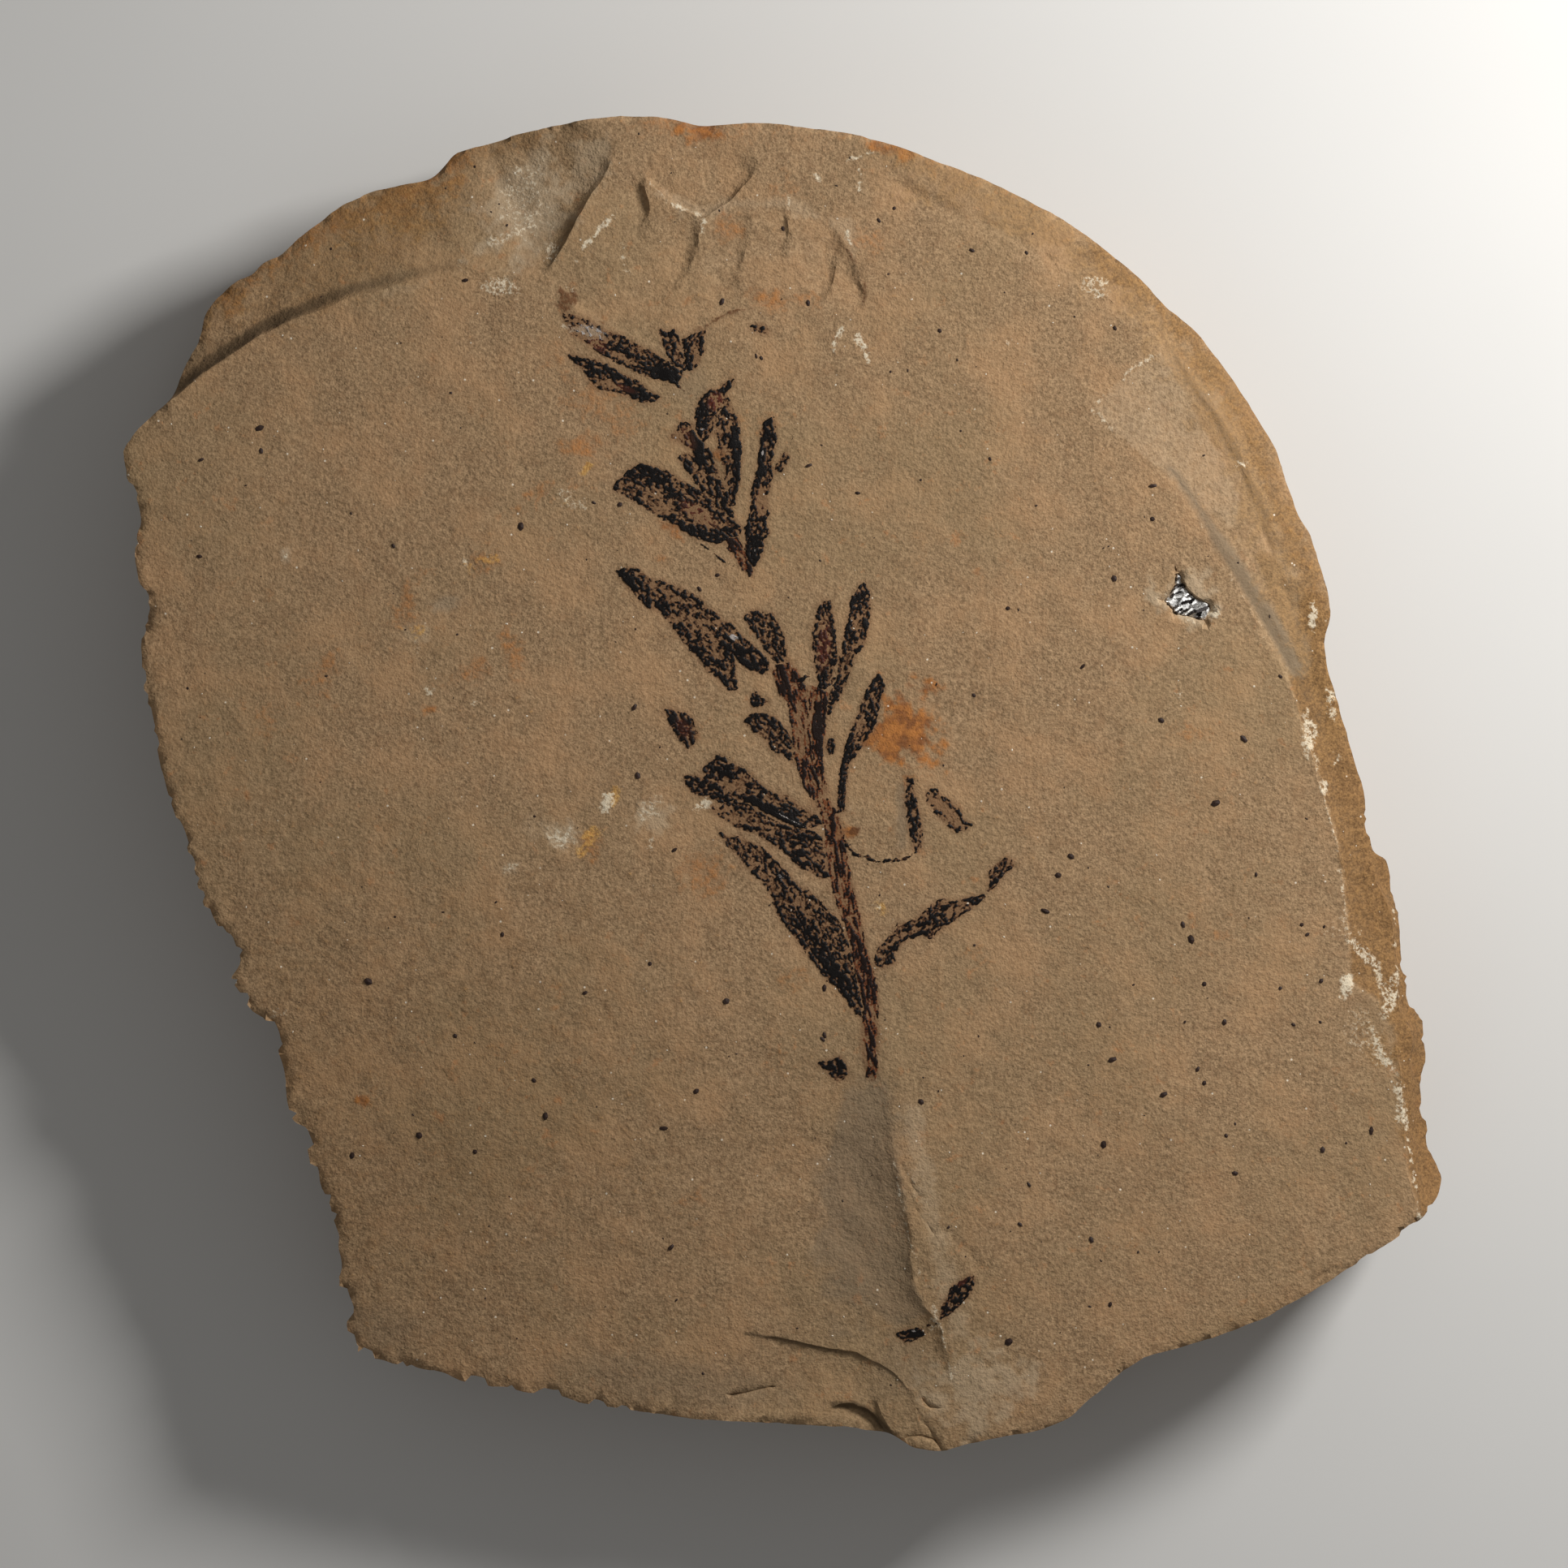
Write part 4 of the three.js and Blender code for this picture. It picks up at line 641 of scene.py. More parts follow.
# Stains and painted shade with a crisper edge: [strength, the outline].
STAIN_AREAS = {
    "rind": [
        [0.95, [[38.8, 8.4], [39.4, 6.1], [40.5, 2.6], [41.4, -0.6], [42.3, -3.5], [42.9, -7],
                [43.5, -11.8], [43.6, -15.3], [45.9, -16.8], [47.1, -19], [47.4, -22.9], [48, -29.9],
                [49, -33.4], [53, -34], [52, -20], [50, -8], [46, 4], [42.6, 8.4]]],
        [0.62, [[29.6, 32.9], [30.8, 31], [32.3, 28.6], [33.8, 26.3], [35, 24.2], [36.2, 21.4], [37.4, 18],
                [38.2, 18], [37.2, 21.4], [36, 24.2], [35.1, 26.3], [33.6, 28.6], [32, 31], [30.2, 33]]],
    ],
    "ochre": [
        [0.7, [[37.1, 18], [38.6, 17], [39.4, 14], [40.4, 10], [41.2, 7], [39.4, 10], [37.6, 14], [36, 18]]],
    ],
    # Painted shade: the strips of the upper right facet and the slope west of the ridge.
    "grey_and_painted_shade": [
        [1.05, [[28.9, 24.9], [30.2, 23.5], [31.5, 21.1], [32.8, 18.8], [34.4, 16.4], [35.9, 13.8],
                [37.7, 11], [39.3, 8.1], [40.1, 6], [40.9, 6.6], [40.4, 8.6], [39.3, 10.9], [37.7, 13.6],
                [35.9, 16.4], [34.4, 18.5], [33.1, 20.2], [31.8, 22.1], [30.3, 24.2]]],
        [0.7, [[29.8, 32.8], [31.3, 30.4], [32.8, 28.1], [34.3, 25.8], [35.3, 23.9], [36.4, 21.4],
               [37.2, 21.4], [36, 23.9], [35.2, 25.8], [33.9, 28.1], [32.4, 30.4], [30.5, 32.9]]],
        [0.75, [[4.6, -23.6], [8, -22.9], [8.5, -28], [9.4, -31.5], [9.9, -38.2], [11.2, -40.8], [8.4, -42],
               [5.4, -39], [4, -34.1], [3.4, -28.7]]],
    ],
    # Painted shade: darker strips along the steps of the upper right facet.
    "painted_shade": [
        [0.47, [[28.9, 24.9], [30.2, 23.5], [31.5, 21.1], [32.8, 18.8], [34.4, 16.4], [35.9, 13.8],
               [37.7, 11], [39.3, 8.1], [40.1, 6], [40.6, 6.6], [39.9, 8.6], [38.9, 10.9], [37.3, 13.6],
               [35.6, 16.3], [34.1, 18.4], [32.8, 20], [31.5, 21.9], [30.2, 24.1]]],
        [0.47, [[29.8, 32.9], [31.3, 30.5], [32.8, 28.2], [34.3, 25.9], [35.3, 24], [36.4, 21.4], [37.3, 18],
                [37.9, 18], [37.2, 21.4], [36, 24], [35.2, 25.9], [33.7, 28.2], [32.1, 30.5], [30.4, 33]]],
    ],
    "bleach_and_painted_light": [
        [0.5, [[23.6, 28.9], [25.8, 26.7], [28.6, 24.3], [30.6, 22.6], [34.6, 19.4], [35.4, 21.4],
               [33.6, 25.6], [30.5, 31], [29.1, 33.3], [26.9, 32]]],
    ],
}


def out_from(spots, x, y, length, width, turn):
    """How far each spot lies from a turned oval's middle, where 1 is its edge."""
    angle = math.radians(turn)
    out = spots - (x, y)
    return np.hypot(
        (out[:, 0] * math.cos(angle) + out[:, 1] * math.sin(angle)) / length,
        (out[:, 1] * math.cos(angle) - out[:, 0] * math.sin(angle)) / width,
    )


def stain(kind, spots):
    """How strongly a mark of this kind shows at each spot, its edges ragged. The marks are stains, painted
    shade and painted light.
    """
    rough = 0.45 * grain(spots, 2.2, 2, 20.0) + 0.4 * grain(spots, 0.7, 3, 21.0)
    rough *= EVEN_STAINS.get(kind, 1)
    total = np.zeros(len(spots))
    for *oval, strength in STAINS.get(kind, []):
        far = out_from(spots, *oval)
        total = np.maximum(total, strength * (1 - eased(far + rough, 0.45, 1.35)))
    for width, strength, line in STAIN_LINES.get(kind, []):
        far, _, share = beside(line, spots)
        share = 1 if share is None else share[:, 0]
        total = np.maximum(total, strength * share * (1 - eased(far / width + rough, 0.2, 1.4)))
    for strength, loop in STAIN_AREAS.get(kind, []):
        far = beside(closed(loop), spots)[0] * np.where(inside(np.array(loop), spots), 1, -1)
        total = np.maximum(total, strength * eased(far + 0.2 * rough, -0.15, 0.25))
    return total


def carry(mesh, name, values):
    """Stores a value for each corner of a mesh, for its material to read."""
    store = mesh.attributes.new(name, "FLOAT", "POINT").data
    store.foreach_set("value", np.asarray(values, np.float32))


# The brown halo that the film has left in the stone around it.
HALO_NEAR = 2         # no halo reaches further than this
HALO_FADE = 0.35      # it fades to about a third over this distance
corners = np.array(corners)
twig_nodes = [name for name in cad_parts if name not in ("slab", "mineral_crust")]
twig_loops = {name: upper_loop(name, 0.9) for name in twig_nodes}
halo = np.zeros(len(corners))
for loop in twig_loops.values():
    low, high = loop.min(axis=0) - HALO_NEAR, loop.max(axis=0) + HALO_NEAR
    close = np.all((corners[:, :2] > low) & (corners[:, :2] < high), axis=1)
    spots = corners[close, :2]
    far = beside(closed(loop), spots)[0]
    halo[close] = np.maximum(halo[close], np.where(inside(loop, spots), 1, np.exp(-far / HALO_FADE)))
halo[len(top_spots):] = 0
carry(stone_mesh, "humic", halo)
for kind in ("rust", "umber", "rind", "ochre", "yellow", "bleach_and_painted_light", "pale", "grey_and_painted_shade", "painted_shade"):
    values = stain(kind, corners[:, :2])
    values[len(top_spots):] *= SIDE_STAIN
    carry(stone_mesh, kind, values)


class Wire:
    """One output in a material's node tree. Sums on wires add the tree's Math nodes."""

    def __init__(self, finish, socket):
        self.finish = finish
        self.socket = socket

    def sum(self, operation, first, second):
        return self.finish.node("ShaderNodeMath", {"operation": operation}, {0: first, 1: second})

    def __add__(self, other):
        return self.sum("ADD", self, other)

    def __radd__(self, other):
        return self.sum("ADD", other, self)

    def __sub__(self, other):
        return self.sum("SUBTRACT", self, other)

    def __rsub__(self, other):
        return self.sum("SUBTRACT", other, self)

    def __mul__(self, other):
        return self.sum("MULTIPLY", self, other)

    def __rmul__(self, other):
        return self.sum("MULTIPLY", other, self)


def pigment(red, green, blue):
    """A colour from its 0 to 255 shades, as a node takes it."""
    shades = np.array([red, green, blue]) / 255
    linear = np.where(shades <= 0.04045, shades / 12.92, ((shades + 0.055) / 1.055) ** 2.4)
    return (*linear.tolist(), 1.0)


class Finish:
    """A material made of nodes, around one surface shader."""

    def __init__(self, name, **surface):
        self.material = bpy.data.materials.new(name)
        self.material.use_nodes = True
        self.tree = self.material.node_tree
        self.shader = self.tree.nodes["Principled BSDF"]
        for socket, value in surface.items():
            self.shader.inputs[socket.replace("_", " ")].default_value = value
        self.place = self.node("ShaderNodeTexCoord", {}, {}, "Object")

    def node(self, kind, settings, values, out=0):
        """Adds a node, sets it up, feeds its sockets and returns one of its outputs."""
        made = self.tree.nodes.new(kind)
        for setting, value in settings.items():
            setattr(made, setting, value)
        for key, value in values.items():
            if isinstance(key, str):
                socket = next(s for s in made.inputs if key in (s.identifier, s.name))
            else:
                socket = made.inputs[key]
            if isinstance(value, Wire):
                self.tree.links.new(value.socket, socket)
            else:
                socket.default_value = value
        return Wire(self, made.outputs[out])

    def mark(self, name):
        """A value that the mesh carries."""
        return self.node("ShaderNodeAttribute", {"attribute_name": name}, {}, "Fac")

    def speckle(self, size, detail=3.0, rough=0.55):
        """Cloudy noise, 0 to 1, whose lumps have the given size in millimetres."""
        values = {"Vector": self.place, "Scale": 1 / (size * MM), "Detail": detail, "Roughness": rough}
        return self.node("ShaderNodeTexNoise", {}, values)

    def step(self, value, low, high):
        """0 where the value is under low, 1 where it is over high, smooth between them."""
        settings = {"interpolation_type": "SMOOTHSTEP", "clamp": True}
        return self.node("ShaderNodeMapRange", settings, {"Value": value, "From Min": low, "From Max": high})

    def size(self, value):
        """A value without its sign."""
        return self.node("ShaderNodeMath", {"operation": "ABSOLUTE"}, {0: value})

    def blend(self, share, first, second):
        """The first colour, changed to the second by a share."""
        settings = {"data_type": "RGBA", "clamp_factor": True}
        values = {"Factor_Float": share, "A_Color": first, "B_Color": second}
        return self.node("ShaderNodeMix", settings, values, 2)

    def relief(self, height, depth, strength=1.0):
        """A bump of the given depth in millimetres."""
        values = {"Height": height, "Distance": depth * MM, "Strength": strength}
        return self.node("ShaderNodeBump", {}, values)

    def wear(self, **wires):
        """Joins wires to the surface shader's sockets."""
        for socket, wire in wires.items():
            self.tree.links.new(wire.socket, self.shader.inputs[socket.replace("_", " ")])


siltstone = Finish("siltstone", Roughness=0.9, Specular_IOR_Level=0.25)
silt = siltstone.speckle(0.15, 1, 0.6)
sand = siltstone.speckle(0.34, 2, 0.6)
pock = siltstone.speckle(0.9, 3, 0.6)
blotch = siltstone.speckle(2.2, 3, 0.6)
cloud = siltstone.speckle(5, 4, 0.6)
drift = siltstone.speckle(16, 3, 0.55)
lit = siltstone.step(silt * 0.42 + sand * 0.58, 0.3, 0.7)


def stony(dark, pale):
    """The colour of the stone's grains, from the dark ones to the lit ones."""
    return siltstone.blend(lit, pigment(*dark), pigment(*pale))


def ragged(kind, by_sand, by_pock, low, high):
    """A stain's share of the colour, its edge broken up by the grain."""
    value = siltstone.mark(kind) + by_sand * (sand - 0.5)
    if by_pock:
        value = value + by_pock * (pock - 0.5)
    return siltstone.step(value, low, high)


# The clean stone is mottled at four sizes, with a few rusty flecks.
body = stony((115, 91, 64), (164, 134, 100))
for cloudy, low, high, share, shade in (
    (pock, 0.47, 0.65, 0.3, (118, 88, 60)),
    (blotch, 0.48, 0.68, 0.26, (152, 122, 88)),
    (cloud, 0.44, 0.68, 0.45, (168, 130, 92)),
    (drift, 0.42, 0.68, 0.3, (130, 110, 78)),
):
    body = siltstone.blend(siltstone.step(cloudy, low, high) * share, body, pigment(*shade))
fleck = siltstone.step(siltstone.speckle(1.4, 4, 0.7), 0.58, 0.72) * siltstone.step(drift, 0.42, 0.6)
body = siltstone.blend(fleck * 0.45, body, pigment(170, 112, 66))

# The stains lie over it, one kind after another, with painted shade in the creases, steps and
# slopes beside the ridge, and painted light at the right of the foot.
orange = siltstone.blend(siltstone.step(pock, 0.38, 0.62), pigment(116, 66, 28), pigment(163, 102, 46))
ochre = siltstone.mark("ochre") + 0.6 * (sand - 0.5) + 0.4 * (silt - 0.5)
veins = siltstone.size(siltstone.speckle(0.45, 3, 0.65) - 0.5)
chalk = siltstone.mark("pale") - 3.5 * veins + 1.2 * (sand - 0.5)
for share, colour in (
    # Paler patches, and painted light at the right of the foot.
    (ragged("bleach_and_painted_light", 0.5, 0.5, 0.1, 1.05) * 0.6, pigment(170, 149, 121)),
    # Grey tint and painted shade.
    (siltstone.mark("grey_and_painted_shade") * (0.6 + 0.5 * sand) * 0.75, pigment(112, 98, 79)),
    (ragged("rust", 1.0, 0.9, 0.15, 1.15) * 0.9, orange),
    (ragged("rind", 0.5, 0.4, 0.1, 1.1) * 0.85, stony((84, 57, 28), (134, 98, 55))),
    (ragged("umber", 1.8, 0, 0.3, 1.1) * 0.9, pigment(88, 54, 28)),
    (siltstone.step(ochre, 0.2, 1.0) * 0.75, stony((112, 83, 48), (150, 114, 70))),
    (ragged("yellow", 1.6, 1.2, 0.35, 1.1) * 0.7, stony((168, 116, 52), (196, 154, 84))),
    # Painted shade in the creases and under the steps.
    (ragged("painted_shade", 0.5, 0, 0.15, 0.9) * 0.8, pigment(76, 60, 40)),
    (siltstone.step(chalk, 0.2, 0.75) * 0.8, pigment(206, 193, 168)),
    (ragged("humic", 0.5, 0, 0.15, 1.0) * 0.7, pigment(106, 74, 48)),
):
    body = siltstone.blend(share, body, colour)
# Painted glints: tiny pale spots in the base colour stand for sparkle on the grains.
glint_cells = siltstone.node("ShaderNodeTexVoronoi", {}, {"Vector": siltstone.place, "Scale": 1 / (1.7 * MM)})
glint = 1 - siltstone.step(glint_cells, 0.035, 0.06)
body = siltstone.blend(glint * 0.7, body, pigment(222, 210, 190))
siltstone.wear(
    Base_Color=body,
    Roughness=0.95 - 0.15 * silt,
    Normal=siltstone.relief(silt * 0.15 + sand * 0.5 + pock * 0.6 + blotch * 0.5, 0.22, 0.85),
)
stone_mesh.materials.append(siltstone.material)
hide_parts("slab")
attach(stone, "root")

# ---- The mineral in the hollow -------------------------------------------------------------------
# Silver-grey crystals of a metal ore that grew in the star-shaped hollow. They are small blades,
# grown together into one crust, with one yellow crystal. Their light and shade are painted: a blade
# with much shine is painted pale silver and one with little is painted dark brown, for the shaded gaps.

CRUST_STEP = 0.07      # spacing of the crust's points
CRUST_EDGE = 0.93      # the crust's outline as a share of the hollow's
CRUST_EDGE_STEP = 0.12  # spacing of the points along that outline
CRUST_CLEAR = 0.04     # how far the other points keep from it
CRUST_FLOOR = BEDDING - PIT_DEPTH
CRUST_THICK = 0.78     # height of the tallest blades
CRUST_THIN = 0.03      # height of the crust where there is no blade
CRUST_SUNK = 0.06      # how far the crust's underside lies in the stone
BLADES = 130           # how many blades have grown


def closed_sheet(name, tops, bottoms, faces, rims):
    """A mesh with faces on the tops, the same faces under them on the bottoms, and walls between
    the two along the rims."""
    count = len(tops)
    walls = [[b, a, a + count, b + count] for a, b in rims]
    under = [[i + count for i in reversed(face)] for face in faces]
    return mesh_of(name, np.vstack([tops, bottoms]), faces + walls + under)


crust_spots = spaced(pit_loop.min(axis=0), pit_loop.max(axis=0), CRUST_STEP, 21)
crust_edge = pit_middle + (resampled(pit_loop, CRUST_EDGE_STEP) - pit_middle) * CRUST_EDGE
crust_spots = kept_clear(crust_spots[inside(crust_edge, crust_spots)], [crust_edge], CRUST_CLEAR)
crust_spots, crust_faces = triangles(crust_edge, [], crust_spots)

# Each point belongs to the blade whose seed is nearest, and the blades are long one way.
random = np.random.default_rng(22)
seeds = random.uniform(pit_loop.min(axis=0), pit_loop.max(axis=0), (BLADES, 2))
stretch = np.array([0.55, 1.3])
turned = np.array([[0.85, -0.53], [0.53, 0.85]])
gaps = ((crust_spots @ turned) * stretch)[:, None, :] - ((seeds @ turned) * stretch)[None, :, :]
blade = np.argmin((gaps ** 2).sum(axis=2), axis=1)
lift = random.uniform(0.1, 0.74, BLADES)
lean = random.normal(0, 0.45, (BLADES, 2))
edge_distance = beside(closed(crust_edge), crust_spots)[0]
height = lift[blade] + ((crust_spots - seeds[blade]) * lean[blade]).sum(axis=1)
height = np.clip(height, 0, CRUST_THICK) * eased(edge_distance, -0.02, 0.2) + CRUST_THIN
tops = np.column_stack([crust_spots, CRUST_FLOOR + height])
bottoms = np.column_stack([crust_spots, np.full(len(crust_spots), CRUST_FLOOR - CRUST_SUNK)])
loop = outer_loop(crust_faces)
crust_mesh = closed_sheet("mineral", tops, bottoms, crust_faces, zip(loop, loop[1:] + loop[:1]))
shine = random.uniform(0, 1, BLADES)[blade]
carry(crust_mesh, "shine", np.tile(shine, 2))
crust = placed("mineral", crust_mesh)

ore = Finish("ore", Roughness=0.35)
# Painted reflection and painted shade: each blade's shine sets its colour.
bright = ore.step(ore.mark("shine") + 0.5 * (ore.speckle(0.25, 2) - 0.5), 0.22, 0.5)
yellow = ore.step(ore.mark("shine"), 0.965, 0.975)
silver_glint = ore.blend(bright, pigment(40, 33, 30), pigment(228, 226, 222))
ore.wear(
    Base_Color=ore.blend(yellow, silver_glint, pigment(196, 168, 96)),
    Metallic=bright * 0.35,
    Roughness=0.5 - 0.2 * bright,
    Normal=ore.relief(ore.speckle(0.1, 2), 0.03, 0.6),
)
crust_mesh.materials.append(ore.material)
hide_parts("mineral_crust")
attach(crust, "root")

# ---- The twig ------------------------------------------------------------------------------------
# What is left of the plant: a film of coal a few hundredths of a millimetre thick, flaked into
# small black scales over brown, thinner film. The stem kept more of its wood and is redder.

FLAKE = 0.065          # spacing of the grid that the film's flakes are cut on
FLAKE_MARGIN = 0.3     # how far that grid reaches past the film
FILM_SUNK = 0.03       # how far the film's underside lies in the stone
FILM_THIN = 0.012      # height of the film's edge over the stone
FILM_THICK = 0.055     # extra height of a black scale
OVER_RIM = 0.16        # how far the film spreads past the solid's outline
LEAST_CUT = 0.15       # a cut keeps this share of a grid step from the grid's points
RAY_START = 0.03       # height in metres from which the stone under the film is found
FILM_SHARP = math.radians(50)  # the film's edges look sharp where they turn by more than this

# Patches of the film: [x, y, half length, half width, turn in degrees, amount].
PATCHES = {
    "coal": [
        [-10.7, 32.41, 3.12, 0.56, -24, 0.9], [-9.27, 31.41, 1.5, 0.62, -24, 1.5],
        [-16.27, 35.47, 0.5, 0.19, -20, 1.2], [-14.58, 31.72, 0.75, 0.69, -60, 0.9],
        [-12.77, 31.16, 0.94, 0.44, -30, 0.7], [-11.02, 29.97, 1.75, 0.44, -14, 0.9],
        [-16.27, 32.66, 0.38, 0.25, -30, 1], [-8.7, 33.78, 1.38, 0.31, -75, 0.7],
        [-7.39, 32.84, 1, 0.25, -80, 0.5], [-6.27, 34.09, 1, 0.25, 70, 0.5],
        [-8.02, 31.84, 0.88, 0.25, 0, 0.8], [-4.27, 30.47, 0.5, 0.25, 50, 1],
        [-6.2, 28.16, 1.62, 0.5, 80, 1.3], [-3.7, 25.34, 3.88, 0.28, -88, 1.2],
        [-4.02, 21.59, 2.38, 0.38, 84, 0.6], [-4.52, 28.59, 0.75, 0.25, -70, 0.7],
        [-5.89, 24.41, 2.81, 0.5, -62, 1], [-10.7, 23.84, 1.88, 0.5, -10, 1.2],
        [-8.27, 22.09, 1, 0.5, -50, 1], [-11.02, 22.41, 1.25, 0.25, -20, 0.5],
        [-6.52, 19.22, 2.88, 0.44, -32, 0.8], [-4.89, 18.59, 1.12, 0.62, -20, 0.7],
        [-1.14, 27.09, 0.81, 0.38, 75, 1.3], [-1.83, 24.59, 2.25, 0.25, 82, 1.2],
        [-2.33, 17.72, 1.62, 0.56, 80, 1.8], [-11.58, 15.59, 1.62, 0.5, -35, 0.7],
        [-8.77, 11.28, 3.25, 0.28, -42, 0.8], [-3.14, 9.84, 2, 0.88, -38, 1],
        [-12.89, 16.59, 0.88, 0.38, -30, 0.8], [-3.77, 7.72, 0.75, 0.25, -60, 0.5],
        [2.98, 7.97, 1, 0.38, 80, 1.2], [3.05, 15.22, 0.88, 0.31, 80, 0.8],
        [6.8, 8.47, 2.12, 0.38, 72, 0.5], [4.61, 2.22, 1.88, 0.31, 74, 0.6],
        [-0.89, -2.09, 2.31, 0.38, -27, 2.2], [-4.58, 0.97, 0.62, 0.38, -30, 1.2],
        [0.73, -2.16, 1, 0.25, -45, 0.8], [-2.52, -3.34, 0.94, 0.15, -14, 1.8],
        [2.11, -6.03, 1.62, 0.25, -36, 0.9], [2.86, -12.91, 3.62, 0.56, -53, 1.3],
        [0.11, -7.47, 1.25, 0.44, -50, 0.6], [4.61, -15.59, 1.88, 0.75, -60, 0.8],
        [0.23, 7.72, 1.25, 0.44, -70, 0.9], [2.61, 3.78, 2.38, 0.41, -88, 2],
        [3.61, -2.47, 1.62, 0.19, -76, 1.2], [4.86, -7.78, 2.5, 0.19, -74, 0.8],
        [6.23, -14.03, 3.12, 0.19, -76, 0.8], [6.86, -20.91, 1.88, 0.31, -84, 0.7],
        [9.92, -12.16, 1, 0.5, 40, 0.9], [12.11, -9.66, 1.38, 0.38, 35, 0.9],
        [16.48, -7.47, 0.75, 0.25, 55, 0.9], [12.86, -2.16, 1.25, 0.25, -62, 0.3],
        [13.36, -39.03, 1, 0.5, 52, 0.8], [9.8, -42.28, 0.62, 0.31, 0, 1.2],
        [-7.58, 10.47, 0.62, 0.5, -60, 0.7], [3.61, -21.91, 0.62, 0.5, 0, 0.8],
    ],
    "bare": [
        [-12.39, 32.84, 1.25, 0.28, -25, 1.5], [-15.3, 34.9, 2.1, 1, -18, 0.8],
        [-13.64, 30.72, 0.81, 0.25, -30, 0.8], [-12.27, 30.47, 0.75, 0.19, -20, 0.6],
        [-8.02, 33.34, 0.88, 0.19, -78, 0.9], [-6.77, 33.03, 0.75, 0.31, -80, 1.1],
        [-5.14, 29.47, 0.62, 0.5, 70, 0.5], [-5.02, 25.34, 2.5, 0.5, -82, 1],
        [-7.77, 26.28, 1.25, 0.5, -60, 0.9], [-9.64, 21.72, 1.62, 0.56, -28, 0.6],
        [-6.52, 20.72, 1.5, 0.56, -34, 0.9], [-12.39, 22.66, 0.62, 0.5, -30, 0.6],
        [-1.7, 21.72, 1.12, 0.44, 88, 1.5], [-7.39, 12.72, 2.12, 0.69, -38, 0.4],
        [-5.64, 10.97, 1.25, 0.44, -42, 0.5], [5.73, 4.09, 1.25, 0.25, 72, 0.9],
        [-4.33, -0.09, 0.81, 0.44, -30, 0.8], [-5.39, -2.16, 3.75, 0.88, -30, 0.45],
        [-1.95, -4.66, 2.5, 0.62, -32, 0.3], [-2.27, -6.03, 1.88, 0.62, -48, 0.35],
        [1.17, -9.03, 1.5, 0.31, -52, 0.5], [1.42, 3.78, 2.25, 0.56, -84, 0.7],
        [2.86, -1.22, 1, 0.62, -60, 0.5], [5.23, -10.28, 2.5, 0.31, -74, 0.3],
        [13.55, -9.66, 1.12, 0.25, 22, 0.9], [11.48, -1.22, 0.75, 0.25, -60, 0.7],
        [12.73, -2.16, 1.6, 0.4, -50, 0.8], [6.15, -20.4, 2.2, 0.24, -86, 1.2],
        [7.3, -20.4, 2.2, 0.2, -86, 1.2],
    ],
    # Painted glints: pale grey patches where the film's glossy scales catch the light.
    "silver_glint": [
        [-14.9, 34.8, 1.5, 0.5, -16, 0.75], [-3.83, 11.28, 0.44, 0.25, -30, 0.8],
        [-1.64, 25.53, 0.25, 0.12, 80, 0.9], [3.11, 15.84, 0.31, 0.19, 0, 0.7],
        [-0.27, -7.16, 0.5, 0.19, -45, 0.5], [-8.27, 26.66, 0.19, 0.12, 0, 1],
        [-6.27, 27.34, 0.25, 0.12, 0, 0.7], [9.98, -42.16, 0.19, 0.12, 0, 0.8],
        [0.55, -2.78, 1.5, 0.07, -27, 0.6], [-2.27, 17.97, 0.25, 0.12, 60, 0.6],
    ],
    "red": [
        [-14.45, 33.78, 0.88, 0.62, -20, 0.7], [-5.27, 29.47, 0.75, 0.62, 60, 1],
        [-12.27, 30.47, 1, 0.25, -20, 0.7], [-7.39, 26.59, 1, 0.5, -60, 0.5],
        [-6.64, 20.84, 1.62, 0.56, -34, 0.8], [3.11, 10.66, 1.88, 0.56, 86, 0.8],
        [-1.77, 21.72, 1.12, 0.38, 88, 0.6], [13.73, -38.28, 0.5, 0.31, 50, 0.8],
        [5.48, -3.41, 0.62, 0.38, 0, 1], [-7.7, 4.3, 1, 0.5, -60, 0.6],
    ],
}

stone_tree = BVHTree.FromObject(stone, bpy.context.evaluated_depsgraph_get())


def lie_on_stone(spots):
    """The stone's height under each spot."""
    down = Vector((0, 0, -1))
    heights = []
    for x, y in spots * MM:
        hit = stone_tree.ray_cast(Vector((x, y, RAY_START)), down)[0]
        heights.append(hit.z / MM if hit else BEDDING)
    return np.array(heights)


def patch(kind, spots):
    """The amount of a kind of patch at each spot."""
    total = np.zeros(len(spots))
    for *oval, amount in PATCHES[kind]:
        total += amount * (1 - eased(out_from(spots, *oval), 0.6, 1.3))
    return total


def cut_sheet(level, rows, columns):
    """Faces of the part of a grid where the level is over nought. A corner is a grid point, or a
    pair of them with the share of the way between them where the level is nought."""
    over = (level > 0).reshape(rows, columns)
    flat = level.reshape(rows, columns)
    corner_of = {}
    places = []

    def corner(a, b=None):
        key = (a, b) if b is None or a < b else (b, a)
        if key not in corner_of:
            corner_of[key] = len(places)
            if b is None:
                places.append((a, a, 0.0))
            else:
                first, second = key
                high, low = flat.flat[first], flat.flat[second]
                share = min(1 - LEAST_CUT, max(LEAST_CUT, high / (high - low)))
                places.append((first, second, share))
        return corner_of[key]

    faces = []
    rims = []
    active = over[:-1, :-1] | over[1:, :-1] | over[:-1, 1:] | over[1:, 1:]
    for row, column in np.argwhere(active):
        at = row * columns + column
        ring = [at, at + 1, at + columns + 1, at + columns]
        face = []
        crossing = []
        for a, b in zip(ring, ring[1:] + ring[:1]):
            if over.flat[a]:
                face.append(corner(int(a)))
                crossing.append(False)
            if over.flat[a] != over.flat[b]:
                face.append(corner(int(a), int(b)))
                crossing.append(True)
        faces.append(face)
        for i in range(len(face)):
            j = (i + 1) % len(face)
            if crossing[i] and crossing[j]:
                rims.append((face[i], face[j]))
    return places, faces, rims


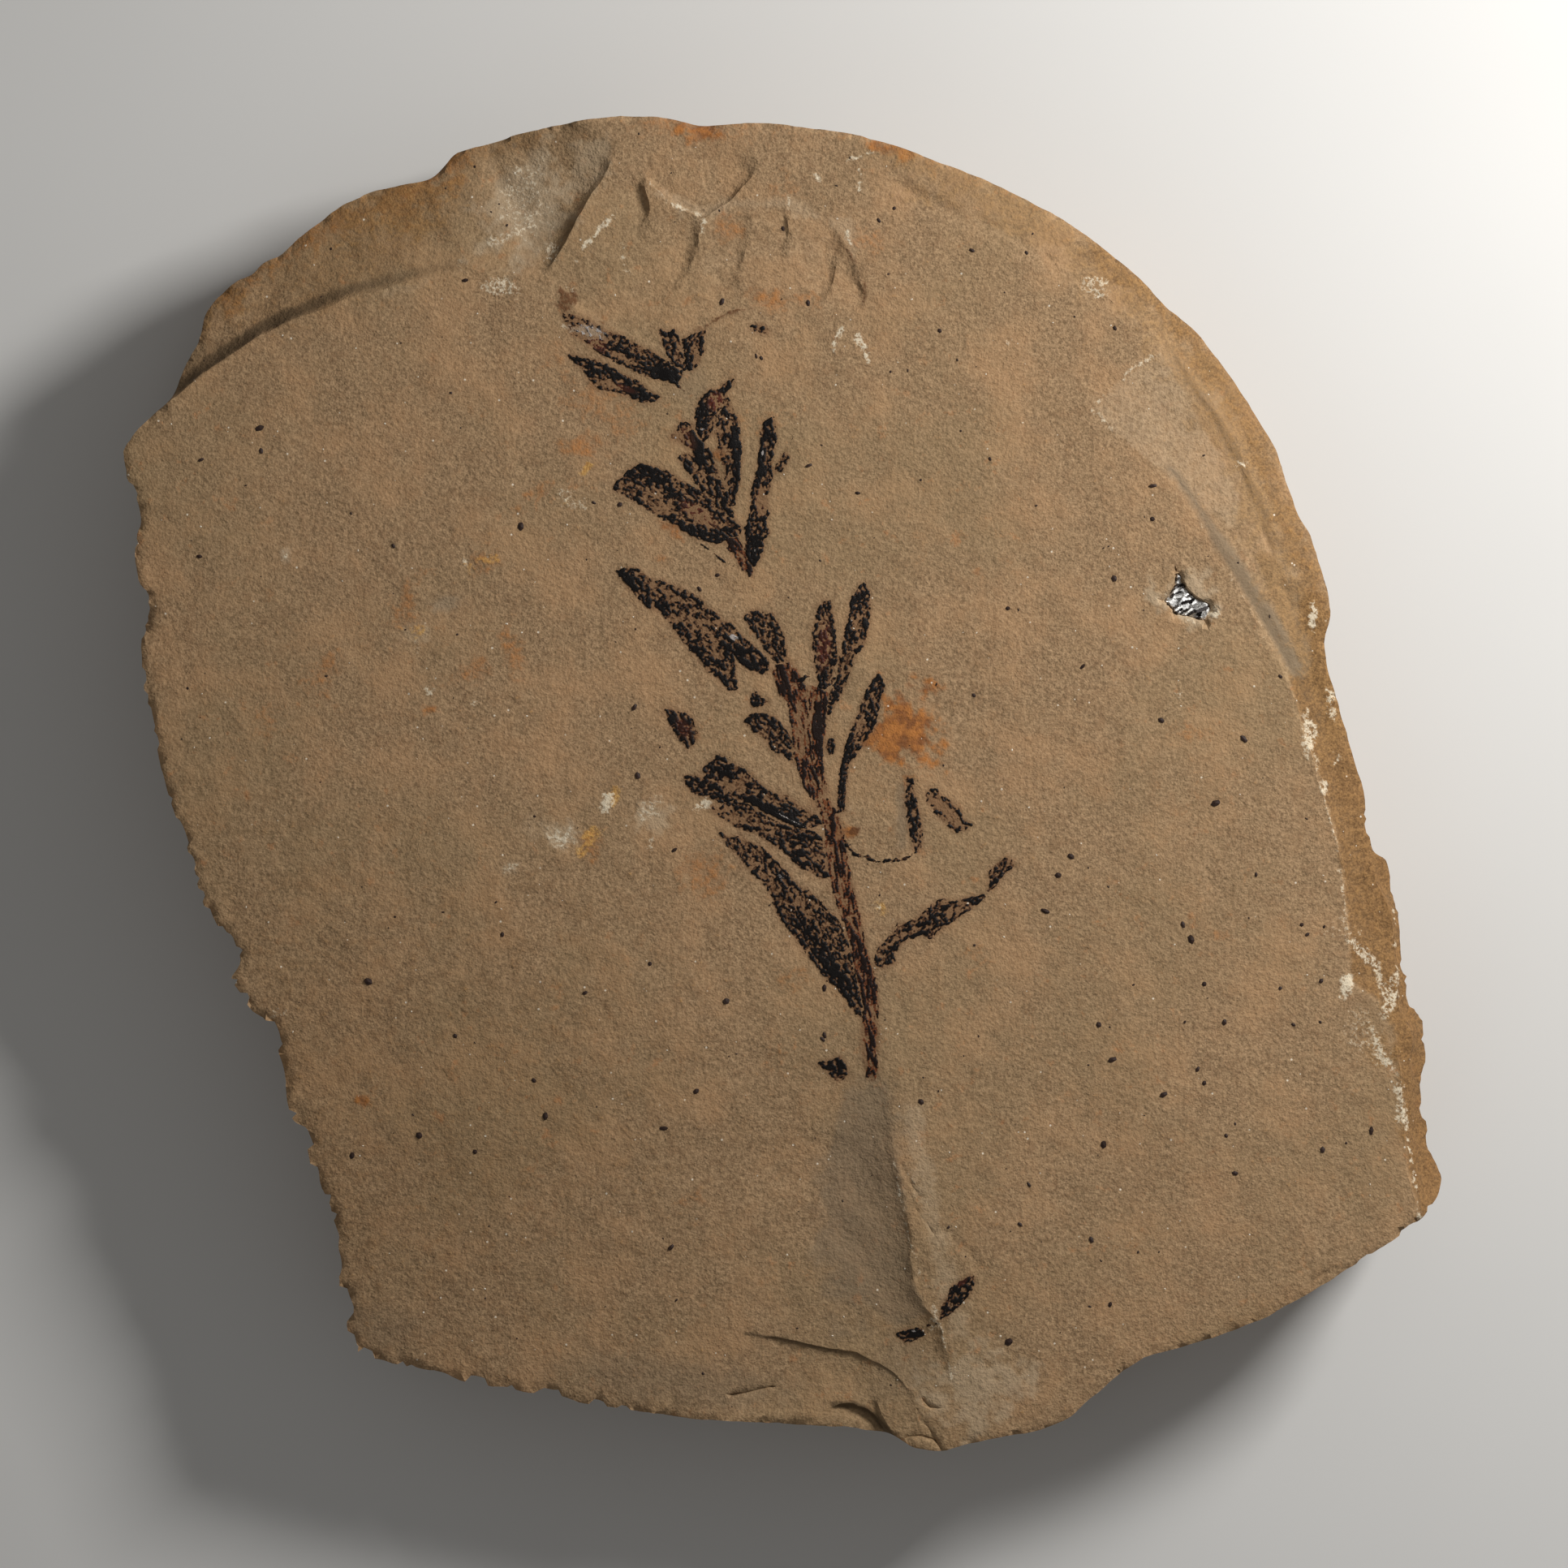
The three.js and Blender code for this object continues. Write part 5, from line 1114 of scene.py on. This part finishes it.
def film_sheet(name, reach, low, high, turn, run, spread, border, kept, seed):
    """A thin closed sheet of coal film on the stone, where reach, the distance inside the
    film's outline, is over nought. Its scales run along the turn."""
    columns_at = np.arange(low[0] - FLAKE_MARGIN, high[0] + FLAKE_MARGIN, FLAKE)
    rows_at = np.arange(low[1] - FLAKE_MARGIN, high[1] + FLAKE_MARGIN, FLAKE)
    x, y = np.meshgrid(columns_at, rows_at)
    spots = np.column_stack([x.ravel(), y.ravel()])
    depth = reach(spots)
    near = depth > -0.1
    level = np.full(len(spots), -1.0)
    coal = np.zeros(len(spots))
    there = spots[near]
    angle = math.radians(turn)
    along = there @ (math.cos(angle), math.sin(angle))
    across = there @ (-math.sin(angle), math.cos(angle))
    streaked = np.column_stack([along / run, across])
    scales = 0.75 * grain(streaked, 0.24, 2, 31 + seed) + 0.45 * grain(there, 0.15, 1, 33 + seed)
    large = grain(streaked, 1.5, 2, 35 + seed)
    inner = depth[near] - 0.05 + 0.09 * grain(there, 0.35, 3, 37 + seed)
    margin = np.exp(-((inner - 0.14) / 0.13) ** 2)
    amount = kept + 1.5 * scales + 0.35 * large + border * margin
    amount += 0.6 * patch("coal", there) - patch("bare", there)
    coal[near] = amount
    level[near] = np.minimum(inner * 3, amount + spread)
    places, faces, rims = cut_sheet(level, len(rows_at), len(columns_at))
    first, second, share = (np.array(values) for values in zip(*places))
    share = share[:, None]
    at = spots[first] * (1 - share) + spots[second] * share
    cover = coal[first] * (1 - share[:, 0]) + coal[second] * share[:, 0]
    ground = lie_on_stone(at)
    edge = np.zeros(len(at), bool)
    edge[[corner for pair in rims for corner in pair]] = True
    rise = FILM_THIN + FILM_THICK * eased(cover, 0.1, 0.5) * np.where(edge, 0.4, 1)
    tops = np.column_stack([at, ground + rise])
    bottoms = np.column_stack([at, ground - FILM_SUNK])
    mesh = closed_sheet(name, tops, bottoms, faces, rims)
    mesh.shade_smooth()
    mesh.set_sharp_from_angle(angle=FILM_SHARP)
    for kind, values in (("coal", cover), ("silver_glint", patch("silver_glint", at)), ("red", patch("red", at))):
        carry(mesh, kind, np.tile(values, 2))
    return placed(name, mesh)


def film_of(loop):
    """The distance inside a closed outline."""

    def reach(spots):
        far = beside(closed(loop), spots)[0]
        return np.where(inside(loop, spots), far, -far) + OVER_RIM

    return reach


def long_way(loop):
    """The turn of an outline's long axis, in degrees."""
    out = loop - loop.mean(axis=0)
    _, axes = np.linalg.eigh(out.T @ out)
    return math.degrees(math.atan2(axes[1, 1], axes[0, 1]))


leaf_finish = Finish("leaf_film", Specular_IOR_Level=0.15)
stem_finish = Finish("stem_film", Specular_IOR_Level=0.15)
for finish, thin, thick in (
    (leaf_finish, (pigment(96, 66, 42), pigment(58, 37, 24)), pigment(13, 9, 7)),
    (stem_finish, (pigment(118, 68, 38), pigment(76, 40, 22)), pigment(26, 15, 10)),
):
    fine = finish.speckle(0.1, 3, 0.7)
    broad = finish.speckle(0.6, 3, 0.6)
    cover = finish.step(finish.mark("coal") + 0.9 * (fine - 0.5), 0.08, 0.3)
    brown = finish.blend(finish.step(broad * 0.6 + fine * 0.4, 0.35, 0.62), *thin)
    brown = finish.blend(finish.mark("red"), brown, pigment(84, 38, 26))
    colour = finish.blend(cover * (1 - 0.55 * finish.mark("red")), brown, thick)
    # Painted glints: the film turns pale grey in these patches.
    silver_glint = finish.step(finish.mark("silver_glint") + 1.6 * (fine - 0.5) + 1.2 * (broad - 0.5), 0.5, 0.8)
    colour = finish.blend(silver_glint, colour, pigment(158, 150, 144))
    finish.wear(
        Base_Color=colour,
        Roughness=0.75 - 0.3 * cover,
        Normal=finish.relief(fine + 0.6 * broad, 0.04, 0.8),
    )


def lay_film(name, made, kind):
    """Gives a sheet of film its finish and its place on the stone."""
    finish = stem_finish if kind == "stem_film" else leaf_finish
    made.data.materials.append(finish.material)
    if name:
        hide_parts(name)
    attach(made, "root")


# How a part's film has flaked: how long its scales run, how much thin brown film lies between
# them, how far its border stands out, and how much coal it kept.
FILM_HABITS = {
    "stem": [3.5, 0.3, 0, 0.12],
    "leaf": [1.6, 0.22, 0.35, 0.1],
    "loose": [1.6, 0.22, 0.5, -0.3],
    "low": [1.6, 0.22, 0.3, 0.1],
    "scrap": [1.6, 0.3, 0, 0.35],
    "thread": [3, 0.4, 0.35, 0.12],
}

for number, (name, loop) in enumerate(twig_loops.items()):
    woody = name.startswith("stem")
    piece = film_sheet(
        "film_" + name, film_of(loop), loop.min(axis=0), loop.max(axis=0), long_way(loop),
        *FILM_HABITS[name.split("_")[0]], seed=number * 0.37,
    )
    lay_film(name, piece, "stem_film" if woody else "leaf_film")

# Threads of the plant that are too fine for a solid: half width, then the line that they follow.
THREADS = {
    "arc": [0.15, [[4.67, -4.41], [5.11, -5.03], [5.55, -5.47], [6.17, -5.53], [7.11, -5.97],
                  [8.36, -5.91], [9.48, -5.66], [10.23, -5.16]]],
    "stalk": [0.09, [[11.92, -41.41], [11.48, -41.66], [10.98, -41.78], [10.23, -41.97]]],
    "twiglet": [0.16, [[0.98, 7.97], [2.23, 8.47]]],
    "link": [0.14, [[3.36, 7.53], [4.11, 8.34]]],
    "vein": [0.07, [[-6.52, 18.59], [-4.33, 16.97], [-3.2, 16.59]]],
    "shred": [0.09, [[-8.39, 30.97], [-7.77, 30.28]]],
    "strand": [0.06, [[0.73, 26.91], [0.36, 25.84], [-0.27, 24.22]]],
}
for number, (name, (width, line)) in enumerate(THREADS.items()):
    ends = np.array(line)

    def thread(spots):
        return width + 0.06 * grain(spots, 0.8, 2, 41) - beside(ends, spots)[0]

    run = ends[-1] - ends[0]
    piece = film_sheet(
        "thread_" + name, thread, ends.min(axis=0), ends.max(axis=0),
        math.degrees(math.atan2(run[1], run[0])), *FILM_HABITS["thread"], seed=20 + number * 0.31,
    )
    lay_film(None, piece, "leaf_film")

# ---- The crumbs and grains -----------------------------------------------------------------------
# Crumbs of coal from broken plants, and grains of pale mineral, each pressed flat into the bedding
# face. The large crumbs lie where they are listed, and the smaller ones are scattered.

CRUMB_SIZE = 0.72      # length of a crumb whose share is 1
GRAIN_SIZE = 0.2       # length of a grain whose share is 1
SMALL_CRUMBS = 150     # how many small crumbs are scattered
GRAINS = 420           # how many grains are scattered
RIM_CLEAR = 1          # how far the scattered ones keep from the rim

# Where the large crumbs lie.
CRUMBS = [
    [-32.02, -15.22], [-21.7, -11.59], [-10.33, -13.84], [-15.33, -16.09], [-4.45, -16.72],
    [-25.33, -19.41], [-18.39, -25.59], [-9.27, -26.53], [-23.83, -28.34], [-33.33, -28.66],
    [-28.14, -27.09], [-8.7, -35.72], [-19.27, -22.84], [-6.77, -23.66], [-44.89, 24.97],
    [-40.39, 27.41], [-40.27, 25.66], [-30.08, 18.34], [-20.27, 19.84], [-45.02, 17.53],
    [-24.58, 38.78], [1.86, 37.03], [11.98, 34.91], [25.48, 35.09], [18.67, 40.91],
    [14.48, 41.09], [8.48, 44.34], [7.3, 43.41], [1.92, 24.53], [5.67, 22.41], [25.42, 15.84],
    [17.23, 13.53], [22.98, 9.03], [29.05, 4.91], [35.42, 3.47], [38.23, 8.28], [28.42, 22.97],
    [28.36, 20.41], [15.86, 25.03], [14.61, 6.84], [22.11, -5.59], [21.11, -7.03],
    [33.23, -1.47], [36.36, -6.97], [20.11, -9.78], [30.73, -10.84], [31.36, -11.97],
    [39.86, -10.84], [40.3, -11.59], [41.36, -15.16], [38.23, -15.72], [32.36, -15.41],
    [30.86, -18.34], [33.92, -18.34], [39.23, -18.53], [24.23, -18.53], [25.3, -21.22],
    [31.86, -21.97], [32.36, -23.03], [29.23, -23.91], [24.61, -27.78], [34.05, -27.09],
    [34.73, -29.97], [18.86, -30.84], [45.23, -26.72], [41.48, -28.16], [23.67, -35.09],
    [18.17, -33.91], [25.11, -40.09], [17.3, -42.97], [10.55, -24.47], [2.98, -19.66],
    [-11.27, 0.66], [-11.52, 5.91], [-4.77, 37.16], [-2.14, 32.97], [-14.64, 21.66],
    [-12.64, 21.53], [-5.14, 16.09], [-6.52, 15.03], [-8.45, -5.09], [3.11, -15.72],
    [-0.08, 42.78], [-1.75, 32.8], [3.12, -19.35],
]


def chip_tree(name):
    """A node tree that puts a small flat chip on every corner of a mesh."""
    tree = bpy.data.node_groups.new(name, "GeometryNodeTree")
    tree.interface.new_socket("Spots", in_out="INPUT", socket_type="NodeSocketGeometry")
    tree.interface.new_socket("Size", in_out="INPUT", socket_type="NodeSocketFloat")
    tree.interface.new_socket("Seed", in_out="INPUT", socket_type="NodeSocketInt")
    tree.interface.new_socket("Finish", in_out="INPUT", socket_type="NodeSocketMaterial")
    tree.interface.new_socket("Chips", in_out="OUTPUT", socket_type="NodeSocketGeometry")

    def add(kind, settings=None, values=None, links=None):
        made = tree.nodes.new(kind)
        for setting, value in (settings or {}).items():
            setattr(made, setting, value)
        for socket, value in (values or {}).items():
            made.inputs[socket].default_value = value
        for socket, source in (links or {}).items():
            tree.links.new(source, made.inputs[socket])
        return made

    given = add("NodeGroupInput")
    ball = add("GeometryNodeMeshIcoSphere", None, {"Radius": 0.5, "Subdivisions": 1})
    share = add("GeometryNodeInputNamedAttribute", None, {"Name": "share"})
    shape = add("FunctionNodeRandomValue", {"data_type": "FLOAT_VECTOR"},
                {0: (0.75, 0.45, 0.25), 1: (1.15, 0.8, 0.4)}, {"Seed": given.outputs["Seed"]})
    length = add("ShaderNodeMath", {"operation": "MULTIPLY"}, None,
                 {0: share.outputs[0], 1: given.outputs["Size"]})
    scale = add("ShaderNodeVectorMath", {"operation": "SCALE"}, None,
                {0: shape.outputs[0], "Scale": length.outputs[0]})
    turn = add("FunctionNodeRandomValue", {"data_type": "FLOAT_VECTOR"},
               {0: (-0.15, -0.15, 0), 1: (0.15, 0.15, 6.28)}, {"Seed": given.outputs["Seed"]})
    chips = add("GeometryNodeInstanceOnPoints", None, None, {
        "Points": given.outputs["Spots"], "Instance": ball.outputs["Mesh"],
        "Rotation": turn.outputs[0], "Scale": scale.outputs[0]})
    real = add("GeometryNodeRealizeInstances", None, None, {"Geometry": chips.outputs[0]})
    dressed = add("GeometryNodeSetMaterial", None, None,
                  {"Geometry": real.outputs[0], "Material": given.outputs["Finish"]})
    add("NodeGroupOutput", None, None, {"Chips": dressed.outputs[0]})
    return tree


chips = chip_tree("chips on spots")


def sprinkle(name, spots, shares, size, seed, finish):
    """One piece made of chips that lie on the stone at the spots."""
    heights = lie_on_stone(np.asarray(spots))
    places = mesh_of(name, np.column_stack([spots, heights]), [])
    carry(places, "share", shares)
    made = placed(name, places)
    modifier = made.modifiers.new("chips", "NODES")
    modifier.node_group = chips
    given = {"Size": size * MM, "Seed": seed, "Finish": finish.material}
    for item in chips.interface.items_tree:
        if item.in_out == "INPUT" and item.name in given:
            modifier[item.identifier] = given[item.name]
    made.update_tag()
    graph = bpy.context.evaluated_depsgraph_get()
    solid = bpy.data.meshes.new_from_object(made.evaluated_get(graph))
    made.modifiers.remove(modifier)
    made.data = solid
    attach(made, "root")


def scattered(number, seed):
    """Random spots on the stone's upper face, clear of its rim."""
    random = np.random.default_rng(seed)
    spots = random.uniform(rim.min(axis=0), rim.max(axis=0), (number * 2, 2))
    clear = inside(rim, spots) & (beside(rim_line[::3], spots)[0] > RIM_CLEAR)
    return spots[clear][:number]


random = np.random.default_rng(51)
small = scattered(SMALL_CRUMBS, 52)
large_shares = random.uniform(0.55, 1.1, len(CRUMBS))
crumb_shares = np.concatenate([large_shares, random.uniform(0.2, 0.45, SMALL_CRUMBS)])
crumb_spots = np.vstack([CRUMBS, small])
crumb_finish = Finish("coal_crumbs", Roughness=0.6, Specular_IOR_Level=0.25)
dull = crumb_finish.speckle(0.1, 2)
crumb_finish.wear(
    Base_Color=crumb_finish.blend(dull, pigment(18, 13, 11), pigment(58, 36, 24)),
    Normal=crumb_finish.relief(dull, 0.02),
)
sprinkle("coal_crumbs", crumb_spots, crumb_shares, CRUMB_SIZE, 53, crumb_finish)

grain_spots = scattered(GRAINS, 54)
grain_shares = random.uniform(0.35, 1, GRAINS) ** 2
grain_finish = Finish("pale_grains", Roughness=0.45)
milky = grain_finish.speckle(0.08, 2)
grain_finish.wear(
    Base_Color=grain_finish.blend(milky, pigment(232, 224, 208), pigment(190, 172, 146)),
    Normal=grain_finish.relief(milky, 0.01),
)
sprinkle("pale_grains", grain_spots, grain_shares, GRAIN_SIZE, 55, grain_finish)

# ---- The studio ----------------------------------------------------------------------------------
# A pale table top, a soft lamp above the top right of the plate, and a camera that looks straight
# down from far enough for a natural view.

TABLE_HALF = 1500       # half the table top's width
CAMERA_HEIGHT = 0.6848  # in metres
ROOM_LIGHT = 0.2        # strength of the even light from all around
table_corners = [(x * TABLE_HALF, y * TABLE_HALF, 0) for x, y in ((-1, -1), (1, -1), (1, 1), (-1, 1))]
table_mesh = mesh_of("table", table_corners, [[0, 1, 2, 3]])
table = placed("table", table_mesh)
paper = Finish("paper", Roughness=0.8)
paper.wear(Base_Color=paper.blend(paper.speckle(30, 2), pigment(198, 196, 192), pigment(202, 200, 196)))
table_mesh.materials.append(paper.material)


def lamp(name, place, size, power):
    """A square soft lamp, its place and size in metres, that points at the middle of the plate."""
    light = bpy.data.lights.new(name, "AREA")
    light.size = size
    light.energy = power
    stand = placed(name, light)
    stand.location = place
    stand.rotation_euler = (Vector((0, 0, 0.01)) - Vector(place)).to_track_quat("-Z", "Y").to_euler()
    stand.visible_camera = False


lamp("key lamp", (0.169, 0.122, 0.144), 0.062, 0.79)
lamp("fill lamp", (-0.5, -0.7, 0.9), 0.8, 0.7)
world = bpy.data.worlds.new("studio")
bpy.context.scene.world = world
world.use_nodes = True
world.node_tree.nodes["Background"].inputs["Color"].default_value = (1, 1, 1, 1)
world.node_tree.nodes["Background"].inputs["Strength"].default_value = ROOM_LIGHT

lens = bpy.data.cameras.new("camera")
lens.sensor_width = 36
lens.lens = 200
lens.clip_start = 0.01
camera = placed("camera", lens)
camera.location = (0, 0, CAMERA_HEIGHT)
bpy.context.scene.camera = camera
bpy.context.scene.view_settings.view_transform = "Standard"

bpy.context.view_layer.update()
